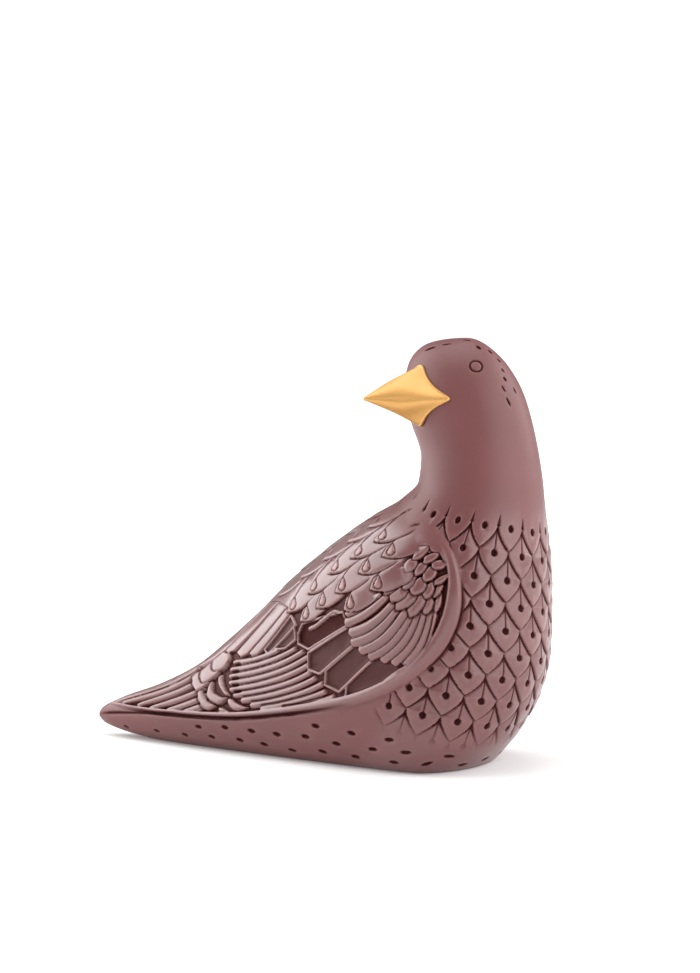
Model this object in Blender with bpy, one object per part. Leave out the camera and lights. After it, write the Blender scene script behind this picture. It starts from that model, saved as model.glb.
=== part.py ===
"""Porcelain starling figurine: a seated bird with a turned head, carved wings and a gilded beak.

The bird is one hollow-cast looking solid, lofted through level slices, with the wing and breast
carving pressed into it along the surface normals. The gilded beak is a second solid that sits on
the face with a fine seam.

Frame: +X is forward (breast), +Y is the bird's left, +Z is up, the flat underside lies on Z = 0.
Lengths in the design tables are millimetres of a bird of nominal size. They are stretched to the
overall sizes, separately behind and before the rump and below and above the shoulders. Every
other size is in metres.
"""
import math

import bpy
import numpy as np

# Overall sizes
TAIL_LENGTH = 0.1085
FRONT_LENGTH = 0.069
LENGTH = TAIL_LENGTH + FRONT_LENGTH
WIDTH = 0.0776
SHOULDER_HEIGHT = 0.100
HEAD_HEIGHT = 0.050

# Carving sizes
RIM_HEIGHT = 0.0012
RIM_HALF_WIDTH = 0.0021
RIM_START = 0.008
WING_BED = 0.0011
RIB_HEIGHT = 0.0012
FEATHER_ROOT_LEVEL = -0.00035
FEATHER_TIP_LEVEL = 0.00055
FEATHER_SLOPE = 0.013
PANEL_DEPTH = 0.0009
PANEL_BORDER = 0.0012
COVERT_HEIGHT = 0.00115
COVERT_FOOT = -0.0006
COVERT_BRIM = 0.0009
LONG_FOOT = -0.0003
LONG_HEIGHT = 0.0005
TAIL_LEAF_FOOT = -0.0005
TAIL_LEAF_HEIGHT = 0.0012
CRESCENT_BRIM = 0.0010
EDGE_GROOVE = 0.0006
EDGE_GROOVE_WIDTH = 0.0009
CREASE_DEPTH = 0.0009
EYE_RING_RADIUS = 0.0023
EYE_GROOVE = 0.00045

# Breast scales
SCALE_DEPTH = 0.0011
SCALE_RAMP = 0.0045
SCALE_WIDTH = 0.0126
SCALE_RISE = 0.0086
SCALE_DROP = 0.0013
SCALE_SIDE_LIMIT = 0.060
SCALE_POINT = 1.6
SCALE_PITCH = 0.35
SCALE_FALL = 0.19
SCALE_TOP = 82.0
SCALE_ROW = 9.3
SCALE_ROW_CLOSING = 0.078
SCALE_OFF_CENTRE = -0.05

# Beak fit
BEAK_SEAM = 0.0003

# Mesh fineness
LEVELS = 330
AROUND = 480
BODY_TRIANGLES = 8250
BEAK_AROUND = 32
BEAK_STEPS = 10
BACK_STEPS = 4

# Design tables in millimetres of the nominal bird.
# Each slice: height, half width, front of the breast, back end, widest point along the bird.
DESIGN_RUMP = -30.0
DESIGN_TAIL = 108.5
DESIGN_FRONT = 69.0
DESIGN_WIDTH = 77.6
DESIGN_SHOULDER = 100.0
DESIGN_HEIGHT = 150.0
SLICES = (
    (0.0, 29.0, 17.5, -119.0, 0.0),
    (2.0, 31.5, 19.4, -129.5, 0.0),
    (4.5, 33.5, 21.6, -136.6, 0.0),
    (7.0, 34.6, 23.8, -138.5, 0.0),
    (9.0, 35.2, 25.6, -137.6, 0.0),
    (14.0, 36.2, 28.9, -128.7, 0.0),
    (20.0, 37.2, 32.8, -113.0, 0.0),
    (28.0, 38.0, 36.1, -97.4, 0.0),
    (38.0, 38.6, 38.4, -84.7, 0.0),
    (50.0, 38.8, 39.0, -71.1, 0.0),
    (62.0, 38.2, 39.0, -58.6, 0.5),
    (72.0, 36.0, 38.7, -46.3, 2.5),
    (80.0, 32.6, 38.0, -35.4, 5.0),
    (87.0, 29.0, 37.3, -24.6, 7.5),
    (93.0, 26.2, 36.7, -14.2, 10.5),
    (100.0, 23.8, 36.1, -6.8, 13.0),
    (108.0, 22.2, 35.0, -6.0, 12.6),
    (120.0, 20.4, 32.6, -10.2, 10.0),
    (131.0, 18.4, 29.1, -13.7, 8.0),
    (140.0, 14.6, 23.9, -12.4, 6.2),
    (147.0, 8.6, 16.8, -7.0, 5.0),
    (150.0, 0.0, 9.0, 9.0, 9.0),
)
# Shape of the rear half of a slice: height, fullness, bluntness of the end.
REAR_SHAPE = (
    (0.0, 1.25, 0.95),
    (40.0, 1.50, 0.80),
    (85.0, 1.90, 0.55),
    (100.0, 2.0, 0.50),
    (150.0, 2.0, 0.50),
)

# The wing is drawn on a flat sheet that faces this way, and its left twin is the mirror image.
SHEET_FACING = (-0.3, -0.75, 0.6)
RIM_LINE = (
    (32.3, 46.6), (36.9, 40.5), (37.9, 31.5), (34.4, 20.5), (27.0, 10.4), (15.0, 2.4),
    (-4.0, -1.9), (-30.0, -2.8), (-60.0, -2.4), (-90.0, 0.9), (-110.0, 4.3), (-124.0, 8.0),
)
BED_TOP_LINE = (
    (-100.0, 11.0), (-84.0, 20.0), (-66.0, 25.0), (-44.0, 40.0), (-30.0, 30.0), (0.0, 28.0),
    (17.0, 30.0), (24.0, 39.0),
)
LIP_LINE = ((-132.5, 5.2), (-118.0, 3.2), (-103.0, 1.6), (-85.0, -0.1))
PANELS = (
    ((-26.4, 23.4), (-29.0, 20.6), (-29.2, 16.7), (-23.5, 13.8), (-2.0, 18.0), (-4.0, 23.0)),
    ((-23.7, 12.8), (-24.8, 8.0), (-19.0, 5.9), (-15.7, 7.0), (3.0, 13.6), (-2.0, 17.4)),
    ((-15.8, 6.5), (-17.6, 2.7), (-11.0, 0.0), (-6.7, 1.8), (9.0, 8.6), (2.0, 13.0)),
    ((-6.8, 1.4), (-9.6, -2.6), (5.0, -0.4), (20.5, 6.2), (12.0, 10.0), (5.0, 7.0)),
)
FEATHER_HEADING = (-0.937, -0.349)
FEATHER_SPOTS = (
    ((12.5, 29.6), (-0.2, 24.9)),
    ((16.8, 40.6), (6.9, 35.8), (-4.1, 31.1), (-14.5, 28.2), (-23.8, 25.9)),
    ((11.5, 47.1), (1.5, 42.6), (-9.5, 39.1), (-20.1, 34.4), (-32.0, 31.0)),
    ((4.6, 55.4), (-4.3, 51.2), (-16.4, 47.2), (-28.4, 43.6), (-41.8, 40.9)),
    ((-1.5, 62.4), (-10.6, 58.2), (-22.6, 54.0), (-35.0, 50.5), (-48.6, 47.6)),
)
FEATHER_OUTLINE = (
    (-3.5, -1.9), (-1.0, -2.6), (3.3, -2.9), (7.5, -1.9), (11.2, -0.2), (14.0, 1.8),
    (17.0, 5.0), (12.0, 9.0), (6.0, 8.6), (2.4, 5.4), (-0.2, 2.5), (-1.9, 1.4),
    (-2.7, -0.1),
)
FEATHER_SHARES = (1.0, 1.0, 1.0, 0.75, 0.35)
FEATHER_BEYOND_SPOT = 3.3
FEATHER_FADE_START = 9.0
COVERTS = (
    (((25.5, 38.6), (27.0, 37.0), (30.4, 40.4)), ((29.2, 37.1), (30.9, 36.3), (33.9, 39.2)),
     ((31.8, 35.9), (33.8, 34.8), (36.2, 36.9))),
    (((22.7, 34.0), (25.1, 33.0), (27.4, 36.5)), ((26.2, 33.0), (28.0, 32.2), (30.7, 35.8)),
     ((28.9, 31.8), (31.0, 30.7), (33.6, 34.3)), ((32.4, 30.6), (33.8, 30.4), (36.4, 33.2))),
    (((19.4, 30.8), (22.6, 28.7), (26.0, 32.5)), ((21.9, 28.7), (23.6, 27.4), (26.6, 30.7)),
     ((24.5, 27.0), (27.6, 26.4), (30.2, 30.2)), ((28.6, 26.1), (30.7, 26.1), (32.5, 29.7)),
     ((31.5, 26.6), (33.0, 27.0), (35.0, 30.6))),
    (((14.4, 26.5), (16.7, 25.8), (21.0, 28.3)), ((16.8, 24.9), (19.3, 23.5), (23.7, 26.5)),
     ((18.7, 22.7), (21.3, 21.4), (26.6, 25.4)), ((22.8, 20.7), (25.7, 20.5), (29.5, 25.8)),
     ((27.6, 21.9), (29.8, 21.9), (31.8, 26.3)), ((31.3, 23.1), (32.7, 23.3), (34.2, 27.2))),
)
FAN_ROOTS = (
    (12.9, 25.9), (16.2, 25.6), (17.6, 23.0), (19.4, 21.9), (21.9, 20.9), (23.8, 20.9),
    (25.7, 21.1), (27.6, 21.3), (29.6, 22.1), (31.4, 23.2),
)
FAN_TIPS = (
    (-3.1, 21.7), (-3.7, 19.2), (-2.4, 16.3), (-2.0, 13.6), (1.0, 11.2), (4.6, 9.2),
    (9.6, 8.0), (13.8, 6.9), (18.6, 6.9), (22.0, 8.0),
)
FAN_HALF_WIDTHS = (1.25, 1.6, 1.65, 1.75, 1.75, 1.75, 1.8, 1.7, 1.6, 1.4)
TAIL_STRANDS = (
    ((-118.6, 8.9), (-101.6, 12.0), (-85.8, 18.8)),
    ((-117.3, 7.1), (-100.0, 9.9), (-84.6, 15.9)),
    ((-108.6, 4.9), (-95.2, 7.7), (-81.5, 12.3)),
    ((-101.8, 3.3), (-90.5, 5.0), (-78.0, 8.8)),
    ((-93.4, 1.7), (-84.5, 2.9), (-75.0, 5.8)),
    ((-85.9, 0.4), (-79.6, 1.0), (-73.0, 2.6)),
)
TAIL_CRESCENTS = (
    ((-68.3, 0.7), (-67.8, -0.8), (-65.1, -1.6), (-60.5, -1.9), (-63.2, -0.9), (-66.3, 0.6)),
    ((-69.6, 13.9), (-71.3, 12.4), (-70.7, 10.0), (-68.5, 7.2), (-66.2, 5.1), (-63.8, 4.4),
     (-64.4, 5.9), (-66.5, 7.6), (-67.9, 9.8), (-69.0, 11.8)),
    ((-74.6, 11.8), (-75.5, 8.6), (-74.8, 5.4), (-72.5, 3.1), (-68.7, 1.7), (-66.0, 2.6),
     (-64.5, 4.2), (-66.6, 4.4), (-69.1, 5.4), (-71.9, 7.0), (-72.9, 9.2), (-73.4, 11.0)),
    ((-80.2, 8.2), (-79.5, 5.6), (-77.5, 2.8), (-75.1, 0.5), (-72.0, -0.1), (-69.6, 1.5),
     (-73.0, 3.2), (-74.9, 4.8), (-76.7, 6.6), (-77.7, 8.4)),
    ((-64.2, 3.9), (-64.1, 1.8), (-62.1, -0.3), (-59.4, -1.3), (-56.3, -1.2), (-54.1, -0.4),
     (-56.1, 0.2), (-58.3, 1.2), (-60.5, 2.3), (-62.1, 3.4)),
)
TAIL_LEAVES = (
    ((-86.2, 15.0), (-84.2, 11.6), (-81.9, 8.8), (-79.6, 8.0), (-76.7, 9.6), (-75.0, 11.4),
     (-78.0, 14.6), (-82.0, 17.6)),
    ((-82.4, 17.2), (-81.4, 14.2), (-79.2, 11.5), (-77.0, 11.0), (-74.3, 12.3), (-71.3, 14.8),
     (-74.0, 18.0), (-77.5, 20.0)),
    ((-77.7, 21.0), (-76.3, 17.2), (-73.8, 15.4), (-69.8, 15.6), (-67.3, 18.2), (-67.8, 21.0),
     (-70.0, 23.6), (-74.5, 23.4)),
)
FLIGHT_STRANDS = (
    ((-65.2, 17.7), (-53.0, 16.4), (-40.6, 16.9)),
    ((-66.0, 15.0), (-48.0, 14.0), (-31.0, 15.7)),
    ((-65.8, 12.3), (-44.7, 11.8), (-26.9, 14.1)),
    ((-65.2, 9.7), (-44.3, 9.4), (-24.9, 12.0)),
    ((-64.3, 7.0), (-44.0, 7.1), (-25.0, 9.6)),
    ((-62.0, 4.6), (-41.4, 4.9), (-24.2, 7.3)),
    ((-58.0, 2.3), (-38.6, 2.9), (-21.8, 5.4)),
    ((-53.4, 0.2), (-35.8, 0.8), (-18.6, 3.4)),
    ((-48.4, -1.4), (-33.1, -0.9), (-17.9, 1.0)),
    ((-38.4, -2.4), (-28.6, -2.4), (-14.2, -0.8)),
)
LONG_BLADES = (
    ((-72.2, 23.9), (-69.5, 22.2), (-66.0, 22.4), (-43.5, 35.8), (-51.7, 38.9)),
    ((-64.6, 21.2), (-61.5, 18.7), (-57.3, 19.2), (-36.5, 31.2), (-42.9, 35.5)),
    ((-56.8, 19.2), (-54.6, 17.6), (-51.4, 17.6), (-48.7, 19.0), (-33.9, 28.3), (-36.5, 31.0)),
    ((-48.5, 18.8), (-46.0, 16.5), (-43.6, 17.0), (-29.8, 23.2), (-33.3, 28.0)),
    ((-43.0, 17.0), (-38.6, 16.7), (-35.9, 16.5), (-29.6, 18.4), (-30.1, 22.8)),
)
EYE_SITE = (17.1, -10.9, 140.9)
TAIL_END_HALF_WIDTH = 3.2
BEAK_HEADING = 230.0
BEAK_REACH = 39.2
BEAK_LEVEL = 129.7
BEAK_TOP = 12.4
BEAK_CHIN = 10.9
BEAK_CHIN_ASIDE = 5.0
BEAK_ROUNDED_FROM = 0.60
BEAK_ROUNDED_POWER = 1.45
BEAK_ROUNDED_CHEEK = 0.88
BEAK_ROUNDED_TOP = 0.94
BEAK_ROUNDED_CHIN = 0.80
BEAK_CORNER_SPREAD = 9.5
BEAK_FILLET = 0.35
BEAK_CHEEK = 15.6
BEAK_FLANK = 0.37
BEAK_TIP_RADIUS = 0.7
BEAK_EDGE = 0.9


def curve_through(x, xs, ys):
    """Smooth curve through typed points that never overshoots them (monotone cubic)."""
    xs = np.asarray(xs, float)
    ys = np.asarray(ys, float)
    gap = np.diff(xs)
    slope = np.diff(ys) / gap
    tangent = np.zeros(len(xs))
    inner = slope[:-1] * slope[1:] > 0
    first = 2.0 * gap[1:] + gap[:-1]
    second = gap[1:] + 2.0 * gap[:-1]
    with np.errstate(divide="ignore", invalid="ignore"):
        mean = (first + second) / (first / slope[:-1] + second / slope[1:])
    tangent[1:-1] = np.where(inner, mean, 0.0)
    tangent[0] = slope[0]
    tangent[-1] = slope[-1]
    i = np.clip(np.searchsorted(xs, x) - 1, 0, len(gap) - 1)
    t = (x - xs[i]) / gap[i]
    rise = (2 * t ** 3 - 3 * t ** 2 + 1) * ys[i] + (3 * t ** 2 - 2 * t ** 3) * ys[i + 1]
    lean = (t ** 3 - 2 * t ** 2 + t) * tangent[i] + (t ** 3 - t ** 2) * tangent[i + 1]
    return rise + gap[i] * lean


def depth_from_crown(z):
    """Square-root depth below the crown, so that slices close there as a round dome."""
    return np.sqrt(np.maximum(DESIGN_HEIGHT - z, 0.0) / DESIGN_HEIGHT)


def slice_sizes(z):
    """Half width, front, back and widest point of the slices at heights z."""
    table = np.array(SLICES)[::-1]
    known = depth_from_crown(table[:, 0])
    asked = depth_from_crown(z)
    return [curve_through(asked, known, table[:, k]) for k in range(1, 5)]


def half_slice(width, front, back, widest, fullness, bluntness, tail_end, points):
    """Half outline of one slice from the front to the back end, evenly spaced along itself."""
    turn = np.linspace(0.0, math.pi / 2, 160, endpoint=False)
    rear = np.sin(np.linspace(0.0, math.pi / 2, 320))
    x = np.concatenate([
        widest + (front - widest) * np.cos(turn),
        widest - (widest - back) * rear,
    ])
    y = width * np.concatenate([
        np.sin(turn),
        np.maximum(1.0 - rear ** fullness, 0.0) ** bluntness,
    ])
    y[len(turn):] += tail_end * rear ** 2 * np.sqrt(np.maximum(1.0 - rear ** 12, 0.0))
    run = np.concatenate([[0.0], np.cumsum(np.hypot(np.diff(x), np.diff(y)))])
    asked = np.linspace(0.0, run[-1], points)
    return np.interp(asked, run, x), np.interp(asked, run, y), asked


def design_grid(levels, around):
    """Smooth skin of the nominal bird as rings of points, with run from the front midline."""
    z = np.linspace(0.0, DESIGN_HEIGHT, 4000)
    width, front, back, _ = slice_sizes(z)
    move = np.diff(z) ** 2 + 0.5 * (np.diff(width) ** 2 + np.diff(front) ** 2 + np.diff(back) ** 2)
    run = np.concatenate([[0.0], np.cumsum(np.sqrt(move))])
    heights = np.interp(np.linspace(0.0, run[-1], levels + 1)[:-1], run, z)
    width, front, back, widest = slice_sizes(heights)
    shape = np.array(REAR_SHAPE)
    fullness = curve_through(heights, shape[:, 0], shape[:, 1])
    bluntness = curve_through(heights, shape[:, 0], shape[:, 2])
    tail_end = TAIL_END_HALF_WIDTH * np.clip((34.0 - heights) / 20.0, 0.0, 1.0)
    half = around // 2
    grid = np.zeros((levels, around, 3))
    arc = np.zeros((levels, around))
    for k in range(levels):
        x, y, steps = half_slice(
            width[k], front[k], back[k], widest[k], fullness[k], bluntness[k], tail_end[k],
            half + 1
        )
        grid[k, : half + 1, 0] = x
        grid[k, : half + 1, 1] = y
        grid[k, half + 1:, 0] = x[half - 1:0:-1]
        grid[k, half + 1:, 1] = -y[half - 1:0:-1]
        grid[k, :, 2] = heights[k]
        arc[k, : half + 1] = steps
        arc[k, half + 1:] = -steps[half - 1:0:-1]
    return grid, arc, width


def to_metres(points):
    """Stretch design points to the real sizes, with the pivots at the rump and the shoulders."""
    points = np.array(points, float)
    real = points * (WIDTH / DESIGN_WIDTH)
    x = points[..., 0] - DESIGN_RUMP
    z = points[..., 2] - DESIGN_SHOULDER
    tail = x * TAIL_LENGTH / DESIGN_TAIL
    front = x * FRONT_LENGTH / DESIGN_FRONT
    real[..., 0] = np.where(x < 0.0, tail, front) + TAIL_LENGTH - LENGTH / 2
    low = z * SHOULDER_HEIGHT / DESIGN_SHOULDER
    high = z * HEAD_HEIGHT / (DESIGN_HEIGHT - DESIGN_SHOULDER)
    real[..., 2] = np.where(z < 0.0, low, high) + SHOULDER_HEIGHT
    return real


def grid_normals(grid):
    """Outward unit normals of a closed-ring grid."""
    east = np.roll(grid, -1, axis=1) - np.roll(grid, 1, axis=1)
    up = np.gradient(grid, axis=0)
    normal = np.cross(east, up)
    length = np.linalg.norm(normal, axis=2, keepdims=True)
    return normal / np.maximum(length, 1e-12)


def bend(points, steps):
    """Points of the Bezier curve with the given control points."""
    t = np.linspace(0.0, 1.0, steps)
    rows = [np.array(p, float)[None, :] + 0.0 * t[:, None] for p in points]
    while len(rows) > 1:
        rows = [a * (1 - t[:, None]) + b * t[:, None] for a, b in zip(rows, rows[1:])]
    return rows[0]


def through(points, steps=6):
    """Flowing line through the given points (Catmull-Rom)."""
    p = np.array(points, float)
    p = np.vstack([2 * p[0] - p[1], p, 2 * p[-1] - p[-2]])
    t = np.linspace(0.0, 1.0, steps, endpoint=False)[:, None]
    line = []
    for a, b, c, d in zip(p, p[1:], p[2:], p[3:]):
        line.append(0.5 * (
            2 * b + (c - a) * t + (2 * a - 5 * b + 4 * c - d) * t ** 2
            + (3 * b - a - 3 * c + d) * t ** 3
        ))
    line.append(p[-2:-1])
    return np.vstack(line)


class Sheet:
    """Height drawing of one wing: flat positions in design millimetres, heights in millimetres."""

    def __init__(self, u, v):
        self.u = u
        self.v = v
        self.height = np.zeros(u.shape)

    def near(self, line, margin):
        """Indices of sheet points inside the line's box widened by margin."""
        low = line.min(axis=0) - margin
        high = line.max(axis=0) + margin
        inside = (self.u > low[0]) & (self.u < high[0]) & (self.v > low[1]) & (self.v < high[1])
        return np.nonzero(inside)

    def along(self, line, where):
        """Distance along and away from a line for the sheet points in where."""
        u = self.u[where]
        v = self.v[where]
        away = np.full(u.shape, 1e9)
        run = np.zeros(u.shape)
        start = 0.0
        for (x0, y0), (x1, y1) in zip(line, line[1:]):
            dx = x1 - x0
            dy = y1 - y0
            length = math.hypot(dx, dy)
            t = np.clip(((u - x0) * dx + (v - y0) * dy) / length ** 2, 0.0, 1.0)
            gap = np.hypot(u - x0 - t * dx, v - y0 - t * dy)
            nearer = gap < away
            away = np.where(nearer, gap, away)
            run = np.where(nearer, start + t * length, run)
            start += length
        return run, away, start

    def inside(self, outline, where):
        """Signed distance to a closed outline, positive inside."""
        u = self.u[where]
        v = self.v[where]
        closed = np.vstack([outline, outline[:1]])
        _, away, _ = self.along(closed, where)
        crossed = np.zeros(u.shape, int)
        for (x0, y0), (x1, y1) in zip(closed, closed[1:]):
            if y0 == y1:
                continue
            spans = (v > min(y0, y1)) & (v <= max(y0, y1))
            crossed += spans & (u < x0 + (v - y0) * (x1 - x0) / (y1 - y0))
        return np.where(crossed % 2 == 1, away, -away)

    def bed(self, outline, level):
        """Sink the ground inside an outline."""
        where = self.near(outline, 2.0)
        edge = self.inside(outline, where)
        share = np.clip(edge / 1.2 + 0.5, 0.0, 1.0)
        self.height[where] = self.height[where] * (1 - share) + level * share

    def ridge(self, line, half_widths, height, level=0.0):
        """Rounded roll that rises gently at its start; half widths run from start to end."""
        where = self.near(line, max(half_widths) + 2.0)
        run, away, total = self.along(line, where)
        half = np.interp(run / total, np.linspace(0, 1, len(half_widths)), half_widths)
        share = np.clip(away / half, 0.0, 1.0)
        top = level + height * np.clip(run / (RIM_START * 1000), 0.0, 1.0) * np.sqrt(1.0 - share ** 2)
        self.height[where] = np.where(share < 1.0, np.maximum(self.height[where], top),
                                      self.height[where])

    def cut(self, line, half_width, depth):
        """Engraved V line."""
        where = self.near(line, half_width + 0.5)
        run, away, total = self.along(line, where)
        fade = np.clip(4.0 * run / total, 0.0, 1.0) * np.clip(4.0 - 4.0 * run / total, 0.0, 1.0)
        self.height[where] -= depth * fade * np.clip(1.0 - away / half_width, 0.0, 1.0)

    def raise_shape(self, where, edge, top, share=1.0):
        """Set a raised shape with a groove round it; share 0..1 fades the shape out."""
        width = EDGE_GROOVE_WIDTH * 1000
        ground = self.height[where]
        ring = np.clip(1.0 + edge / width, 0.0, 1.0) * share
        self.height[where] = np.where(edge > 0, ground + (top - ground) * share,
                                      ground - EDGE_GROOVE * 1000 * ring)

    def plume(self, line, widths, tip, level, height):
        """One rounded rib; widths are half widths and tip is the length of the rounded end."""
        where = self.near(line, max(widths) + EDGE_GROOVE_WIDTH * 1000 + 0.5)
        run, away, total = self.along(line, where)
        half = np.interp(run / total, np.linspace(0, 1, len(widths)), widths)
        end = np.clip((run - (total - tip)) / tip, 0.0, 1.0)
        half = half * np.sqrt(1.0 - end ** 2)
        edge = half - away
        share = np.clip(edge / np.maximum(half, 0.3), 0.0, 1.0)
        self.raise_shape(where, edge, level + height * np.sqrt(1.0 - (1.0 - share) ** 2))

    def leaf(self, outline, level, height, brim):
        """Rounded leaf inside a closed outline."""
        where = self.near(outline, EDGE_GROOVE_WIDTH * 1000 + 0.5)
        edge = self.inside(outline, where)
        share = np.clip(edge / brim, 0.0, 1.0)
        self.raise_shape(where, edge, level + height * np.sqrt(1.0 - (1.0 - share) ** 2))

    def lance(self, outline, spot, share):
        """Flat feather that rises towards its tip and fades out towards its root.

        share 0..1 flattens the whole feather.
        """
        where = self.near(outline, EDGE_GROOVE_WIDTH * 1000 + 0.5)
        edge = self.inside(outline, where)
        heading = np.array(FEATHER_HEADING) / np.linalg.norm(FEATHER_HEADING)
        back = -((self.u[where] - spot[0]) * heading[0] + (self.v[where] - spot[1]) * heading[1])
        slope = FEATHER_SLOPE * 1000
        rise = np.clip(1.0 - (back + FEATHER_BEYOND_SPOT) / slope, 0.0, 1.0)
        low = FEATHER_ROOT_LEVEL * 1000 * share
        top = low + (FEATHER_TIP_LEVEL * 1000 * share - low) * rise
        fade = np.clip((slope + 1.0 - back) / (slope + 1.0 - FEATHER_FADE_START), 0.0, 1.0)
        self.raise_shape(where, edge, top, fade * (0.5 + 0.5 * share))

    def panel(self, outline, level, border, depth):
        """Sunken glossy field with a raised rounded border."""
        where = self.near(outline, 2.0)
        edge = self.inside(outline, where)
        middle = border / 2
        roll = np.sqrt(np.clip(1.0 - ((edge - middle) / middle) ** 2, 0.0, 1.0))
        top = np.where(edge > middle, level - depth + roll * depth, level)
        self.height[where] = np.where(edge > 0, top, self.height[where])


def strand(ends_and_middle, steps):
    """Curve from the root to the tip that passes the middle point."""
    tip, middle, root = np.array(ends_and_middle)
    return bend((root, 2.0 * middle - (tip + root) / 2.0, tip), steps)


def tail_carving(sheet):
    """Tail strands, the crescents and leaves at their roots, and the arched flight ribs."""
    for spots in TAIL_STRANDS:
        sheet.plume(strand(spots, 8), (1.5, 1.5, 0.9), 2.0, -0.5 * WING_BED * 1000,
                    RIB_HEIGHT * 900)
    for outline in TAIL_CRESCENTS:
        sheet.leaf(np.array(outline), TAIL_LEAF_FOOT * 1000, TAIL_LEAF_HEIGHT * 1000,
                   CRESCENT_BRIM * 1000)
    for outline in TAIL_LEAVES:
        sheet.leaf(np.array(outline), TAIL_LEAF_FOOT * 1000, TAIL_LEAF_HEIGHT * 1000,
                   CRESCENT_BRIM * 1000)
    for spots in FLIGHT_STRANDS:
        sheet.plume(strand(spots, 8), (1.0, 1.4, 1.35), 1.2, -WING_BED * 1000,
                    RIB_HEIGHT * 1100)


def long_feather_carving(sheet):
    """Long feathers above the flight ribs: three flat ones, then two sunken in a border."""
    for outline in LONG_BLADES[:3]:
        sheet.leaf(np.array(outline), LONG_FOOT * 1000, LONG_HEIGHT * 1000, COVERT_BRIM * 1000)
    for outline in LONG_BLADES[3:]:
        sheet.panel(np.array(outline), 0.1, PANEL_BORDER * 850, PANEL_DEPTH * 1100)


def wing_carving(sheet):
    """Everything on one wing, painted from the tail forward so that upper layers cover lower."""
    rim = through(RIM_LINE)
    outline = np.vstack([rim, BED_TOP_LINE])
    sheet.bed(outline, -WING_BED * 1000)
    tail_carving(sheet)
    long_feather_carving(sheet)
    for panel in PANELS:
        sheet.panel(np.array(panel), 0.25, PANEL_BORDER * 1200, PANEL_DEPTH * 1000 + 0.5)
    ribs = len(FAN_ROOTS)
    for k in reversed(range(ribs)):
        root = np.array(FAN_ROOTS[k])
        tip = np.array(FAN_TIPS[k])
        chord = tip - root
        bulge = np.array((-chord[1], chord[0])) * (0.10 + 0.14 * math.sin(math.pi * k / (ribs - 1)))
        half = FAN_HALF_WIDTHS[k]
        sheet.plume(bend((root, (root + tip) / 2 + bulge, tip), 9),
                    (0.62 * half, 0.84 * half, half), 1.3, -0.5, RIB_HEIGHT * 1000)
    for row in reversed(COVERTS):
        for corners in reversed(row):
            left, low, right = np.array(corners)
            over = left - low
            first = left + 0.25 * over
            loop = (first, low - 0.1 * over, right - 0.2 * over, right + 1.1 * over, first)
            sheet.leaf(through(loop)[:-1], COVERT_FOOT * 1000, COVERT_HEIGHT * 1000,
                       COVERT_BRIM * 1000)
    for chain, share in zip(FEATHER_SPOTS, FEATHER_SHARES):
        for spot in np.array(chain)[::-1]:
            loop = np.array(FEATHER_OUTLINE + FEATHER_OUTLINE[:1]) + spot
            sheet.lance(through(loop, 3)[:-1], spot, share)
    sheet.ridge(rim, [RIM_HALF_WIDTH * 1000 * s for s in (0.8, 1, 1, 0.95, 0.8, 0.55, 0.4, 0.33, 0.24)],
                RIM_HEIGHT * 1000, -0.3)
    sheet.cut(through(RIM_LINE[6:]) - (0.0, 1.1), 1.0, CREASE_DEPTH * 1000)
    sheet.cut(through(LIP_LINE), 0.7, CREASE_DEPTH * 500)


def aside_in_row(across, k):
    """Sideways distance from the middle of the nearest scale; even rows are half a scale over."""
    pitch = SCALE_WIDTH * 1000
    shifted = across - (pitch / 2 if k % 2 == 0 else 0.0)
    return np.abs(np.mod(shifted + pitch / 2, pitch) - pitch / 2)


def scale_carving(grid, arc, width):
    """Pointed breast scales in staggered rows; returns heights in millimetres.

    A scale's half width at s below its widest is half * (1 - (s / rise) ** SCALE_POINT).
    """
    z = grid[..., 2]
    place = arc / np.maximum(width[:, None], 1.0) - SCALE_OFF_CENTRE
    drop = SCALE_TOP - (z - SCALE_FALL * np.abs(arc))
    closing = np.maximum(SCALE_ROW ** 2 - 4 * SCALE_ROW_CLOSING * drop, 1.0)
    row = (SCALE_ROW - np.sqrt(closing)) / (2 * SCALE_ROW_CLOSING)
    half = SCALE_WIDTH * 1000 / 2
    rise = SCALE_RISE * 1000
    across = place / SCALE_PITCH * 2 * half
    down = rise * row + SCALE_DROP * 1000
    owner = np.full(z.shape, -1)
    for k in range(12):
        room = np.clip(1.0 - aside_in_row(across, k) / half, 0.0, 1.0)
        covered = (down <= rise * k + rise * room ** (1.0 / SCALE_POINT)) & (owner < 0)
        owner = np.where(covered, k, owner)
    edge = np.full(z.shape, 50.0)
    for k in range(1, 12):
        upper = aside_in_row(across, k - 1)
        beyond = down - rise * k
        s = np.clip(beyond / rise + 1.0, 0.0, 1.0)
        slope = SCALE_POINT * half / rise * s ** (SCALE_POINT - 1.0)
        beside = (upper - half * (1.0 - s ** SCALE_POINT)) / np.sqrt(1.0 + slope ** 2)
        gap = np.maximum(np.where(beyond > 0, np.hypot(upper, beyond), beside), 0.0)
        edge = np.where(owner == k, gap, edge)
    height = -SCALE_DEPTH * 1000 * np.clip(1.0 - edge / (SCALE_RAMP * 1000), 0.0, 1.0)
    front = np.clip((SCALE_SIDE_LIMIT * 1000 - np.abs(arc)) / 4.0, 0.0, 1.0)
    bottom = np.clip((z - 8.0) / 8.0, 0.0, 1.0)
    return height * front * bottom


def sheet_axes():
    """Facing, rightward and upward directions of the wing's drawing sheet."""
    facing = np.array(SHEET_FACING) / np.linalg.norm(SHEET_FACING)
    right = np.array((1.0, 0.0, 0.0)) - facing[0] * facing
    right = right / np.linalg.norm(right)
    return facing, right, np.cross(facing, right)


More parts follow.
